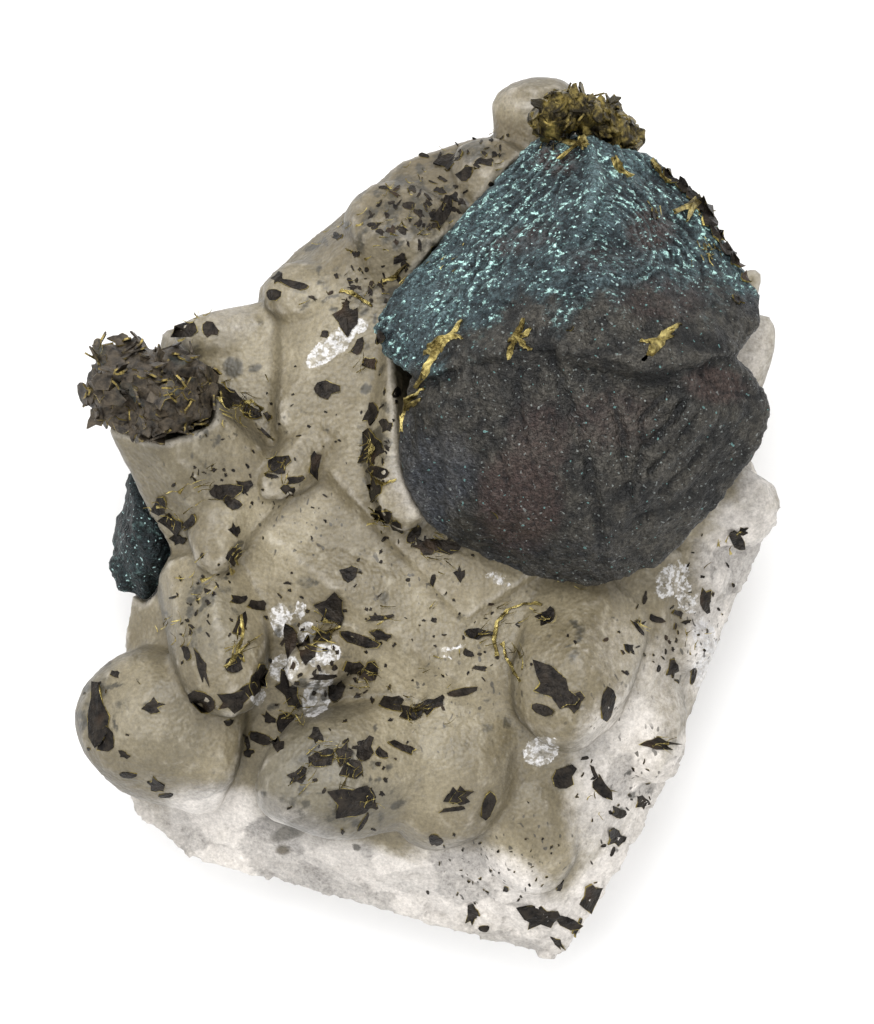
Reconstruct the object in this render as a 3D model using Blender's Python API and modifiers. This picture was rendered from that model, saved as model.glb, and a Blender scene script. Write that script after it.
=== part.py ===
# Bornite specimen: a large bornite crystal and a small one on a plate of quartz crystals,
# with brassy chalcopyrite and dark sulfide flakes. It lies on its sawn back, with +Z up.
import math
import random

import bmesh
import bpy
from mathutils import Matrix, Vector, noise
from mathutils.bvhtree import BVHTree

# Driving dimensions, in millimetres. X runs to the right of the specimen's face and Y up it.
MM = 0.001
SEAT_GAP = 0.32           # clearance between two minerals that touch
MATRIX_GRAIN = 3.4        # longest edge on the broken quartz
MATRIX_ROUGH = 0.36       # height of its broken facets
FACET_SIZE = 4.6          # width of one broken facet
BORNITE_GRAIN = 2.4       # longest edge on the large bornite crystal
BORNITE_ROUGH = 0.16      # height of its lumps
GROWTH_STEP = 2.4         # distance between two growth ledges on its upper faces
GROWTH_HEIGHT = 0.30      # height of one ledge
LEDGE_Y = 9.6             # where the upper lobe steps down to the lower one
CRUST_GRAIN = 1.6         # longest edge on the sulfide crust
CRUST_ROUGH = 0.36        # height of its flaky lumps
PLATE_THICK = 0.34        # thickness of a flake or a blade
FLAKE_CORNERS = 7
RAGGED = (0.74, 1.12)     # how far a flake's corners lie from its oval
SAG = 1.0                 # how far a flake follows a hollow or a ridge under it
LIFT_STEP = 0.1
LIFT_STEPS = 20
LARGE_CRYSTAL = 3.5       # shoulder half width from which a crystal's edges are rounder
MERGE = 0.15              # corners closer than this become one
FLAT_ANGLE = 0.02         # faces that meet at less than this, in radians, are in one plane
BAND_OVERLAP = 1.3        # how far the sockets of the two lobes reach past the ledge
ABOVE_ALL = 60.0          # a height over the whole specimen

# Convex pieces of the broken quartz plate: corner points (x, y, z).
# They reach below z = 0, where the flat back is sawn.
PLATE_PIECES = {
    "upper": [
        (4.0, 23.2, 8.6), (2.4, 22.9, 9.6), (0.8, 22.0, 10.0), (-2.0, 21.4, 10.0),
        (-4.2, 19.4, 9.6), (-5.8, 17.9, 9.0), (-8.4, 16.0, 8.8), (-10.6, 14.0, 8.6),
        (8.0, 22.0, 7.5), (16.6, 16.0, 7.5), (19.0, 9.0, 7.5), (19.0, 2.5, 8.0),
        (4.0, 20.6, 12.4), (-4.0, 17.4, 13.2), (-9.0, 12.4, 12.4), (-9.0, 6.0, 14.0),
        (2.0, -6.0, 15.0), (14.0, 2.0, 13.0), (14.0, 14.0, 12.0), (2.0, 18.0, -1.0),
        (-8.0, 10.0, -1.0), (-9.0, -2.0, -1.0), (14.0, 12.0, -1.0), (15.5, 0.0, -1.0),
        (10.0, -8.0, -1.0), (-11.0, 2.0, 9.0),
    ],
    "left": [
        (-11.2, 12.3, 8.6), (-14.0, 12.0, 8.4), (-16.4, 11.4, 8.2), (-17.0, 9.0, 8.0),
        (-15.6, 3.4, 8.0), (-18.0, -6.0, 7.6), (-11.0, 11.0, 11.8), (-15.0, 10.2, 11.0),
        (-13.0, 2.0, 12.6), (-13.0, -4.0, 12.6), (-4.0, 12.0, 11.0), (-2.0, -4.0, 14.4),
        (-12.0, 8.0, -1.0), (-12.0, -4.0, -1.0), (-2.0, 6.0, -1.0), (-2.0, -6.0, -1.0),
    ],
    "lower": [
        (-17.4, 0.0, 8.0), (-18.6, -6.4, 7.6), (-19.0, -15.2, 7.0), (-18.2, -18.0, 5.8),
        (-15.2, -20.6, 5.4), (-11.2, -21.0, 5.4), (-6.4, -21.7, 5.6), (-3.0, -23.7, 5.8),
        (1.4, -23.9, 6.0), (4.8, -25.9, 6.6), (7.2, -26.9, 6.8), (8.3, -26.5, 7.2),
        (8.7, -25.2, 7.4), (9.2, -21.4, 8.0), (13.2, -18.2, 8.2), (15.1, -14.6, 8.2),
        (16.0, -10.4, 8.4), (16.6, -6.2, 8.4), (18.2, -2.4, 8.0), (-13.8, 2.0, 12.4),
        (-14.6, -12.0, 10.8), (-10.4, -17.0, 10.0), (-2.0, -19.8, 10.4), (6.0, -23.0, 10.4),
        (9.4, -18.0, 12.0), (13.0, -10.0, 12.6), (14.6, -2.0, 12.6), (2.0, -10.0, 15.2),
        (-6.0, -4.0, 15.0), (-13.0, 2.0, -1.0), (-12.0, -14.0, -1.0), (2.0, -19.0, -1.0),
        (9.0, -17.0, -1.0), (14.0, 2.0, -1.0),
    ],
    "right": [
        (19.2, 4.0, 8.4), (20.2, 2.0, 8.6), (20.6, -0.2, 8.4), (19.0, -1.8, 8.2),
        (18.6, -3.2, 8.0), (17.8, -4.8, 8.0), (16.8, -6.4, 8.0), (17.2, -8.6, 7.6),
        (15.8, -11.4, 7.8), (9.0, 5.0, 11.4), (17.4, 1.6, 11.4), (9.0, -10.0, 12.0),
        (15.6, -4.6, 11.4), (9.0, 4.0, 2.0), (15.4, -1.0, 2.0), (13.0, -9.0, 2.0),
        (7.0, -4.0, 7.0),
    ],
}

# Quartz crystals: middle of the foot, tip, half width at the foot and at the shoulder,
# share of the length that the point takes, and turn about the axis in degrees.
QUARTZ_CRYSTALS = {
    "upper_left": ((-11.4, 0.6, 9.6), (-19.0, 9.4, 15.6), 5.6, 3.0, 0.20, 10),
    "upper_left_foot": ((-12.4, 1.6, 12.4), (-13.2, -3.4, 14.8), 2.6, 1.9, 0.35, 0),
    "left_middle": ((-13.6, -2.6, 10.0), (-12.0, -11.9, 15.0), 3.7, 3.3, 0.34, 20),
    "lower_left": ((-12.0, -13.2, 8.4), (-21.5, -11.5, 10.3), 5.5, 5.1, 0.34, 5),
    "centre_low": ((-0.8, -14.0, 10.8), (-10.3, -16.6, 16.0), 4.9, 4.3, 0.36, 15),
    "centre_low_right": ((2.6, -10.6, 9.4), (-0.6, -19.6, 13.4), 5.2, 4.9, 0.34, 0),
    "centre_right": ((9.4, -5.0, 10.4), (7.4, -13.4, 16.6), 4.6, 4.1, 0.34, 25),
    "lower_right": ((4.6, -13.0, 8.0), (6.6, -22.6, 11.4), 4.6, 4.0, 0.36, 10),
    "right_speckled": ((11.4, -8.4, 8.6), (13.8, -16.2, 10.6), 3.6, 3.0, 0.36, 20),
    "right_edge": ((14.0, 0.8, 9.0), (21.2, 0.6, 10.0), 3.6, 2.8, 0.34, 12),
    "right_low": ((13.0, -4.2, 9.2), (18.2, -3.5, 9.6), 3.0, 2.2, 0.34, 30),
    "right_shiny": ((12.0, -7.6, 9.6), (17.2, -7.8, 10.0), 2.4, 1.8, 0.34, 10),
    "right_high": ((17.0, 6.6, 8.0), (20.3, 12.2, 9.4), 2.8, 1.6, 0.30, 0),
    "right_point": ((16.6, 9.6, 8.0), (19.5, 15.0, 9.0), 2.2, 1.1, 0.35, 18),
    "upper_long": ((4.6, 12.4, 9.6), (-4.9, 18.9, 12.6), 5.6, 3.6, 0.25, 30),
    "upper_dark": ((8.0, 16.0, 9.6), (1.6, 22.4, 12.0), 4.2, 2.8, 0.28, 12),
    "top": ((6.9, 19.0, 8.4), (6.0, 26.6, 9.4), 3.1, 2.8, 0.10, 20),
    "under_bornite": ((-0.8, 11.0, 12.0), (-1.8, -0.8, 16.0), 3.1, 2.5, 0.22, 0),
    "small_left": ((-6.6, 4.8, 12.4), (-10.2, 1.2, 14.8), 2.3, 1.6, 0.40, 8),
    "edge_left": ((-8.6, 11.0, 9.4), (-15.6, 11.0, 11.4), 2.4, 1.6, 0.35, 0),
    "edge_upper": ((-4.0, 12.4, 10.2), (-10.2, 13.8, 12.0), 3.4, 2.4, 0.30, 22),
    "centre_small": ((-4.4, -7.2, 12.4), (-8.6, -9.6, 16.2), 2.2, 1.7, 0.35, 40),
}
BLUNT = 0.55              # a point's blunt end, as a share of its shoulder
CRYSTAL_ROUNDING = 0.32   # the same for its rounded edges

# Large bornite crystal: its upper and lower lobes, as corner points (x, y, z).
UPPER_LOBE = [
    (9.2, 24.3, 14.4), (6.9, 23.5, 13.4), (5.6, 22.0, 13.4), (1.5, 17.5, 15.0),
    (-2.2, 13.5, 16.2), (-3.5, 11.3, 17.2), (-3.1, 9.9, 18.0), (-1.0, 8.3, 20.6),
    (3.8, 9.7, 24.2), (7.6, 9.8, 25.6), (12.4, 9.1, 26.0), (16.0, 9.4, 24.4),
    (18.2, 9.9, 21.4), (19.4, 11.4, 19.0), (19.4, 13.2, 17.4), (17.9, 15.7, 15.8),
    (16.3, 18.6, 14.6), (13.4, 21.4, 13.6), (11.6, 22.9, 13.0), (9.7, 19.8, 20.0),
    (9.0, 15.6, 22.8), (2.0, 15.0, 8.0), (15.0, 15.0, 8.0), (9.5, 20.0, 8.0),
    (1.0, 8.0, 10.0), (16.6, 8.0, 10.0), (4.0, 6.4, 19.0), (9.0, 6.0, 20.0),
    (14.6, 6.6, 19.4),
]
LOWER_LOBE = [
    (-1.3, 8.2, 19.0), (-2.0, 5.3, 18.0), (-1.7, 2.4, 17.4), (-0.4, -0.2, 16.8),
    (1.7, -1.7, 16.4), (5.3, -3.3, 16.2), (10.0, -4.1, 16.6), (13.2, -2.9, 17.0),
    (17.0, 0.6, 18.0), (19.3, 4.1, 19.0), (20.1, 6.4, 19.4), (19.7, 7.7, 19.4),
    (18.3, 9.4, 19.6), (0.6, 6.2, 22.2), (3.0, 10.4, 23.0), (8.0, 11.0, 24.8),
    (14.0, 10.8, 24.4), (17.2, 10.0, 21.8), (8.5, 2.6, 23.4), (9.7, -1.8, 20.4),
    (15.6, 6.2, 23.8), (12.9, 2.1, 22.6), (2.6, 0.4, 20.2), (2.0, 6.0, 9.0),
    (4.0, 0.8, 10.0), (10.0, -0.4, 10.4), (15.0, 3.4, 10.0), (16.6, 7.0, 9.0),
]
SMALL_BORNITE = [
    (-18.2, 3.0, 9.8), (-18.7, 1.4, 8.4), (-19.4, -1.3, 7.4), (-19.6, -2.9, 8.0),
    (-19.0, -4.3, 8.2), (-17.4, -4.9, 8.4), (-15.3, -3.7, 9.4), (-14.0, -2.0, 9.8),
    (-18.0, -0.6, 11.4), (-17.1, -2.7, 11.2), (-16.2, 0.8, 11.4), (-15.0, -0.8, 4.6),
    (-17.0, -3.1, 4.2), (-17.3, 0.4, 5.0), (-13.0, -0.6, 8.0),
]

# Sulfide crust over the point of the upper left quartz crystal, as corner points.
SULFIDE_CRUST = [
    (-20.9, 8.6, 14.0), (-21.2, 7.2, 14.4), (-20.4, 10.4, 14.0), (-17.6, 11.2, 14.2),
    (-15.2, 10.4, 14.4), (-13.4, 8.6, 15.6), (-12.2, 7.0, 16.2), (-13.0, 5.9, 16.6),
    (-15.6, 5.0, 17.6), (-19.4, 5.4, 16.0), (-19.4, 8.6, 17.6), (-17.4, 8.4, 18.6),
    (-15.4, 7.6, 18.4), (-19.0, 7.4, 10.0), (-15.4, 10.0, 10.2), (-15.6, 5.4, 10.4),
    (-18.6, 10.4, 11.0), (-12.6, 8.8, 11.4),
]

# Brassy chalcopyrite on the large crystal: middle, half sizes and turn of each clump.
CROWN_CLUMPS = [
    ((7.4, 24.0, 15.2), (1.8, 1.5, 1.9), 20),
    ((8.9, 24.2, 14.4), (1.7, 1.4, 2.0), -15),
    ((10.3, 23.8, 13.8), (1.5, 1.3, 1.7), 10),
    ((11.6, 22.9, 13.2), (1.1, 1.3, 1.8), 35),
]

# Thin plates that lie on a surface: middle (x, y), half length, half width, turn in
# degrees, and how far the end that points along the turn stands up.
SEAM_BLADES = {
    "seam_blade_left": (0.0, 9.9, 1.7, 0.46, 40, 0.3),
    "seam_blade_middle": (5.2, 11.3, 1.4, 0.36, 68, 0.3),
    "seam_blade_right": (13.4, 10.5, 1.5, 0.36, 44, 0.3),
    "seam_blade_low": (-1.1, 6.0, 1.4, 0.40, 68, 0.2),
}
RIM_PLATES = [
    (13.2, 20.6, 1.5, 0.8, -45, 0.4), (14.8, 18.7, 1.4, 0.9, -55, 0.5),
    (16.2, 16.5, 1.3, 0.8, -60, 0.5), (17.4, 14.3, 1.2, 0.8, -55, 0.4),
    (18.4, 12.3, 1.1, 0.8, -70, 0.4),
]
FLAKES = [
    (-6.4, 7.8, 0.95, 0.60, 10, 0.3), (-12.1, 9.2, 1.05, 0.85, 40, 0.2),
    (-10.6, 9.0, 0.60, 0.30, 30, 0.2), (-14.4, 11.2, 0.70, 0.55, 0, 0.1),
    (-9.8, 13.5, 0.55, 0.50, 0, 0.1), (-5.4, 11.9, 1.05, 0.70, 60, 0.3),
    (-9.4, 2.4, 0.95, 0.60, 40, 0.4), (-7.2, 3.1, 0.95, 0.40, 95, 0.5),
    (-12.8, 1.7, 1.25, 0.75, 10, 0.4), (-15.9, -0.2, 1.20, 0.75, -50, 0.4),
    (-12.0, -1.5, 1.05, 0.35, 80, 0.3), (-5.2, -3.5, 0.65, 0.60, 20, 0.3),
    (-3.0, -4.9, 0.60, 0.50, 0, 0.2), (-7.0, -5.7, 1.20, 0.90, 20, 0.5),
    (-4.6, -7.3, 1.30, 0.42, -20, 0.4), (-7.6, -8.4, 0.95, 0.50, 95, 0.3),
    (-10.9, -9.5, 0.75, 1.05, 10, 0.5), (-14.5, -9.0, 1.00, 0.35, -55, 0.5),
    (-12.9, -10.8, 0.95, 0.45, -10, 0.3), (-3.4, -8.9, 1.10, 0.70, 5, 0.4),
    (-7.6, -12.2, 0.80, 0.50, -55, 0.3), (-10.6, -15.2, 0.95, 0.50, -25, 0.2),
    (-2.0, -11.3, 0.95, 0.65, 30, 0.5), (0.9, -10.8, 1.60, 0.50, 30, 0.2),
    (-5.2, -13.9, 1.35, 0.85, 15, 0.6), (-4.7, -17.0, 0.95, 0.85, 30, 0.3),
    (1.7, -16.8, 0.75, 0.65, 0, 0.3), (3.3, -17.0, 0.80, 0.40, 80, 0.3),
    (7.9, -10.3, 1.45, 1.05, -40, 0.3), (10.6, -11.0, 0.85, 0.35, 70, 0.5),
    (5.4, -6.0, 1.30, 0.45, 40, 0.3), (8.0, -15.5, 0.95, 0.65, 60, 0.4),
    (9.9, -16.1, 1.10, 0.50, -55, 0.4), (13.4, -13.6, 1.05, 0.32, -10, 0.3),
    (16.3, -5.0, 0.62, 0.42, 90, 0.2), (13.3, -6.1, 0.70, 0.36, -20, 0.2),
    (14.4, -8.9, 0.55, 0.40, 80, 0.2), (11.0, -19.0, 0.95, 0.50, 60, 0.3),
    (8.8, -22.4, 1.00, 0.75, 80, 0.2), (6.0, -23.4, 1.35, 0.60, -15, 0.3),
    (2.2, -22.6, 0.75, 0.35, 80, 0.2), (-3.4, 3.2, 1.50, 0.50, 85, 0.4),
    (0.3, -3.4, 1.25, 0.50, -25, 0.4), (-18.9, -11.4, 2.30, 0.90, 100, 0.3),
]

# Colour, roughness and metallic of each mineral.
MATERIALS = {
    "quartz": ((0.62, 0.57, 0.52), 0.35, 0.0),
    "bornite": ((0.055, 0.075, 0.090), 0.45, 0.6),
    "chalcopyrite": ((0.42, 0.31, 0.09), 0.35, 0.9),
    "sulfide": ((0.060, 0.048, 0.040), 0.40, 0.5),
}


def clear_scene():
    for obj in list(bpy.data.objects):
        bpy.data.objects.remove(obj, do_unlink=True)


def new_collection(name):
    collection = bpy.data.collections.new(name)
    bpy.context.scene.collection.children.link(collection)
    return collection


def make_material(name):
    colour, roughness, metallic = MATERIALS[name]
    material = bpy.data.materials.new(name)
    material.use_nodes = True
    shader = material.node_tree.nodes["Principled BSDF"]
    shader.inputs["Base Color"].default_value = (*colour, 1.0)
    shader.inputs["Roughness"].default_value = roughness
    shader.inputs["Metallic"].default_value = metallic
    return material


def object_from(name, shape, collection):
    """Turns a bmesh in millimetres into an object in metres."""
    bmesh.ops.scale(shape, vec=(MM, MM, MM), verts=shape.verts)
    bmesh.ops.recalc_face_normals(shape, faces=shape.faces)
    mesh = bpy.data.meshes.new(name)
    shape.to_mesh(mesh)
    shape.free()
    obj = bpy.data.objects.new(name, mesh)
    collection.objects.link(obj)
    return obj


def shape_of(obj):
    """An object's mesh as a bmesh in millimetres."""
    shape = bmesh.new()
    shape.from_mesh(obj.data)
    bmesh.ops.scale(shape, vec=(1 / MM,) * 3, verts=shape.verts)
    return shape


def surface_of(obj):
    """A search tree over an object's surface, in millimetres."""
    shape = shape_of(obj)
    tree = BVHTree.FromBMesh(shape)
    shape.free()
    return tree


def drop(obj):
    bpy.data.objects.remove(obj, do_unlink=True)


def settle(obj):
    """Makes what an object's modifiers give its own mesh."""
    bpy.context.view_layer.update()
    graph = bpy.context.evaluated_depsgraph_get()
    mesh = bpy.data.meshes.new_from_object(obj.evaluated_get(graph))
    obj.modifiers.clear()
    obj.data = mesh


def boolean(obj, other, operation, solver="EXACT"):
    modifier = obj.modifiers.new(f"{operation.lower()} {other.name}", "BOOLEAN")
    modifier.operation = operation
    modifier.object = other
    modifier.solver = solver
    settle(obj)


def rough_boolean(obj, other, operation):
    """The same where the surface is rough, on which EXACT leaves open edges."""
    boolean(obj, other, operation, "MANIFOLD")


def joined(objects, join=boolean):
    """Joins overlapping objects in the first of them."""
    first = objects[0]
    for other in objects[1:]:
        join(first, other, "UNION")
        drop(other)
    return first


def hull(points):
    """A convex body with the given corner points, as a crystal's flat faces make it."""
    shape = bmesh.new()
    for point in points:
        shape.verts.new(point)
    made = bmesh.ops.convex_hull(shape, input=shape.verts)
    spare = [v for v in made["geom_interior"] if isinstance(v, bmesh.types.BMVert)]
    bmesh.ops.delete(shape, geom=spare, context="VERTS")
    return shape


def refine(shape, longest):
    """Splits edges until none is longer than the given length, keeping the faces flat."""
    while True:
        long_edges = [e for e in shape.edges if e.calc_length() > longest]
        if not long_edges:
            return
        bmesh.ops.subdivide_edges(shape, edges=long_edges, cuts=1)
        bmesh.ops.triangulate(shape, faces=shape.faces)
        flat = [e for e in shape.edges if e.calc_face_angle() < FLAT_ANGLE]
        bmesh.ops.beautify_fill(shape, faces=shape.faces, edges=flat)


def roughen(shape, height_at):
    """Moves each vertex out along its normal by what height_at gives there."""
    shape.normal_update()
    moves = [(v, v.normal * height_at(v.co, v.normal)) for v in shape.verts]
    for vertex, move in moves:
        vertex.co += move


def worked(obj, grain, height_at, name, collection):
    """Gives a plain body the grain and roughness of a natural surface."""
    shape = shape_of(obj)
    bmesh.ops.remove_doubles(shape, verts=shape.verts, dist=MERGE)
    bmesh.ops.dissolve_limit(
        shape, angle_limit=math.radians(2), verts=shape.verts, edges=shape.edges
    )
    bmesh.ops.triangulate(shape, faces=shape.faces)
    refine(shape, grain)
    roughen(shape, height_at)
    drop(obj)
    return object_from(name, shape, collection)


def broken_height(place, _normal):
    """Shell-like hollows between sharp ridges, as quartz breaks."""
    near = noise.voronoi(place / FACET_SIZE)[0]
    return MATRIX_ROUGH * (near[1] - near[0] - 0.3)


def growth_height(place, normal):
    """Lumps all over, and ledges that step up the upper lobe's sloping faces."""
    lumps = BORNITE_ROUGH * noise.fractal(place / 3.2, 0.9, 2.0, 3)
    upper = min(1.0, max(0.0, (place.y - LEDGE_Y) / 2.0))
    along = place.y + 0.35 * abs(place.x - 9.4) + 1.2 * noise.noise(place / 5.0)
    wave = abs(math.sin(math.pi * along / GROWTH_STEP))
    return lumps + GROWTH_HEIGHT * upper * wave * max(0.0, normal.z)


def flaky_height(place, _normal):
    return CRUST_ROUGH * 2 * (noise.cell(place / CRUST_GRAIN) - 0.5)


def quartz_crystal(foot, tip, foot_radius, shoulder_radius, point_share, turn):
    """Six-sided prism that tapers to a blunt point."""
    foot = Vector(foot)
    axis = Vector(tip) - foot
    shoulder = axis.length * (1 - point_share)
    corners = []
    for height, radius in ((0.0, foot_radius), (shoulder, shoulder_radius)):
        corners += ring(6, radius, height, 0)
    corners += ring(3, BLUNT * shoulder_radius, axis.length, 30)
    place = Matrix.Translation(foot) @ axis.to_track_quat("Z", "Y").to_matrix().to_4x4()
    place = place @ Matrix.Rotation(math.radians(turn), 4, "Z")
    return hull([place @ corner for corner in corners])


def ring(count, radius, height, start):
    """Corners evenly round the Z axis, from the given angle in degrees."""
    angles = [math.radians(start + 360 * i / count) for i in range(count)]
    return [Vector((radius * math.cos(a), radius * math.sin(a), height)) for a in angles]


def round_edges(obj, width, segments):
    bevel = obj.modifiers.new("rounded edges", "BEVEL")
    bevel.width = width * MM
    bevel.segments = segments
    bevel.limit_method = "ANGLE"
    bevel.angle_limit = math.radians(20)
    settle(obj)


def make_quartz(specimen, helpers):
    """The quartz: a broken plate with crystals grown from it, joined in one solid."""
    plate = joined(
        [object_from("plate_" + name, hull(corners), helpers)
         for name, corners in PLATE_PIECES.items()]
    )
    quartz = worked(plate, MATRIX_GRAIN, broken_height, "quartz_matrix", specimen)
    for name, sizes in QUARTZ_CRYSTALS.items():
        crystal = object_from("crystal_" + name, quartz_crystal(*sizes), helpers)
        shoulder_radius = sizes[3]
        segments = 2 if shoulder_radius > LARGE_CRYSTAL else 1
        round_edges(crystal, CRYSTAL_ROUNDING * shoulder_radius, segments)
        rough_boolean(quartz, crystal, "UNION")
        drop(crystal)
    return quartz


def make_large_bornite(specimen, helpers):
    upper = object_from("upper_lobe", hull(UPPER_LOBE), helpers)
    lower = object_from("lower_lobe", hull(LOWER_LOBE), helpers)
    lobes = joined([upper, lower])
    return worked(lobes, BORNITE_GRAIN, growth_height, "bornite_crystal_large", specimen)


def make_small_bornite(specimen):
    shape = hull(SMALL_BORNITE)
    refine(shape, BORNITE_GRAIN)
    roughen(shape, lambda place, _normal: 0.2 * noise.fractal(place / 2.0, 0.9, 2.0, 3))
    return object_from("bornite_crystal_small", shape, specimen)


def make_crust(specimen):
    """Crust of flakes round the point of the upper left quartz crystal."""
    shape = hull(SULFIDE_CRUST)
    refine(shape, CRUST_GRAIN)
    roughen(shape, flaky_height)
    return object_from("sulfide_crust", shape, specimen)


def make_crown(specimen, helpers):
    """Ragged chalcopyrite over the top of the large crystal."""
    draw = random.Random(11)
    clumps = []
    for i, (middle, half_sizes, turn) in enumerate(CROWN_CLUMPS):
        shape = bmesh.new()
        bmesh.ops.create_icosphere(shape, subdivisions=2, radius=1.0)
        for vertex in shape.verts:
            vertex.co *= draw.uniform(0.74, 1.12)
        place = Matrix.Translation(middle) @ Matrix.Rotation(math.radians(turn), 4, "Z")
        place = place @ Matrix.Diagonal((*half_sizes, 1.0))
        bmesh.ops.transform(shape, matrix=place, verts=shape.verts)
        clumps.append(object_from(f"clump_{i}", shape, helpers))
    crown = joined(clumps, rough_boolean)
    crown.name = "chalcopyrite_crown"
    helpers.objects.unlink(crown)
    specimen.objects.link(crown)
    return crown


def seat(host, guest, helpers, low_y=-ABOVE_ALL, high_y=ABOVE_ALL):
    """Cuts a socket in the host that clears the guest all round by the seat gap.

    The two heights choose a part of the guest, for a guest of two lobes.
    """
    guest_shape = shape_of(guest)
    shape = hull([v.co for v in guest_shape.verts if low_y <= v.co.y <= high_y])
    guest_shape.free()
    shape.normal_update()
    moves = [(v, v.normal * SEAT_GAP * v.calc_shell_factor()) for v in shape.verts]
    for vertex, move in moves:
        vertex.co += move
    cutter = object_from("cutter_" + guest.name, shape, helpers)
    rough_boolean(host, cutter, "DIFFERENCE")
    drop(cutter)


def saw_back(quartz, helpers):
    """Cuts the back flat at z = 0."""
    shape = bmesh.new()
    bmesh.ops.create_cube(shape, size=ABOVE_ALL)
    bmesh.ops.translate(shape, vec=(0, 0, -ABOVE_ALL / 2), verts=shape.verts)
    cutter = object_from("cutter_back", shape, helpers)
    rough_boolean(quartz, cutter, "DIFFERENCE")
    drop(cutter)


def islands(shape):
    """Groups of vertices that hang together."""
    left = set(shape.verts)
    groups = []
    while left:
        group = set()
        waiting = [left.pop()]
        while waiting:
            vertex = waiting.pop()
            group.add(vertex)
            near = {e.other_vert(vertex) for e in vertex.link_edges} & left
            left -= near
            waiting += near
        groups.append(group)
    return groups


def keep_largest(obj):
    """Removes chips that a cut has left loose, and edges too short to matter."""
    shape = shape_of(obj)
    bmesh.ops.remove_doubles(shape, verts=shape.verts, dist=0.01)
    groups = sorted(islands(shape), key=len)
    for group in groups[:-1]:
        bmesh.ops.delete(shape, geom=list(group), context="VERTS")
    bmesh.ops.dissolve_degenerate(shape, edges=shape.edges, dist=0.01)
    bmesh.ops.scale(shape, vec=(MM, MM, MM), verts=shape.verts)
    shape.to_mesh(obj.data)
    shape.free()


def thin_plate(sizes, host_tree, lift, seed):
    """A ragged oval plate laid on a surface, following its hollows and ridges."""
    x, y, half_length, half_width, turn, tip_lift = sizes
    middle, normal, _face, _distance = host_tree.ray_cast((x, y, ABOVE_ALL), (0, 0, -1))
    across = Matrix.Rotation(math.radians(turn), 3, "Z") @ Vector((1, 0, 0))
    side = normal.cross(across).normalized()
    along = side.cross(normal)
    draw = random.Random(seed)
    shape = bmesh.new()
    bmesh.ops.create_circle(
        shape, cap_ends=True, cap_tris=True, radius=1.0, segments=FLAKE_CORNERS
    )
    for vertex in shape.verts:
        reach = draw.uniform(*RAGGED)
        a = vertex.co.x * half_length * reach
        b = vertex.co.y * half_width * reach
        point = middle + along * a + side * b
        below, _normal, _face, _distance = host_tree.ray_cast(point + normal * 4.0, -normal)
        height = 0.0
        if below is not None:
            height = max(-SAG, min(SAG, (below - point).dot(normal)))
        height += lift + tip_lift * max(0.0, a / half_length)
        vertex.co = point + normal * height
    bmesh.ops.solidify(shape, geom=shape.faces, thickness=PLATE_THICK)
    bmesh.ops.recalc_face_normals(shape, faces=shape.faces)
    return shape


def is_clear(shape, trees):
    own = BVHTree.FromBMesh(shape)
    for tree in trees:
        if own.overlap(tree):
            return False
        for vertex in shape.verts:
            if tree.find_nearest(vertex.co, 0.6 * SEAT_GAP)[0] is not None:
                return False
            above, normal, _face, _distance = tree.ray_cast(vertex.co, (0, 0, 1))
            if above is not None and normal.z > 0:
                return False
    return True


def lay_plate(name, sizes, host_tree, trees, seed, specimen):
    """Lays a thin plate on its host, lifted just clear of everything round it."""
    for step in range(LIFT_STEPS):
        lift = SEAT_GAP + step * LIFT_STEP
        shape = thin_plate(sizes, host_tree, lift, seed)
        if is_clear(shape, trees):
            break
        shape.free()
    else:
        raise ValueError(f"{name} finds no clear place")
    if shape.calc_volume(signed=True) < 0:
        bmesh.ops.reverse_faces(shape, faces=shape.faces)
    trees.append(BVHTree.FromBMesh(shape))
    print(f"{name}: lifted {lift:.1f} mm")
    return object_from(name, shape, specimen)


def centre_on_floor(objects):
    """Moves the meshes so that the frame's origin is under the middle of their box."""
    corners = [v.co for obj in objects for v in obj.data.vertices]
    low = Vector([min(c[i] for c in corners) for i in range(3)])
    high = Vector([max(c[i] for c in corners) for i in range(3)])
    shift = Vector((-(low.x + high.x) / 2, -(low.y + high.y) / 2, -low.z))
    for obj in objects:
        obj.data.transform(Matrix.Translation(shift))
    print("size", [round(s, 5) for s in high - low], "moved", [round(s, 6) for s in shift])
    return shift


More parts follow.
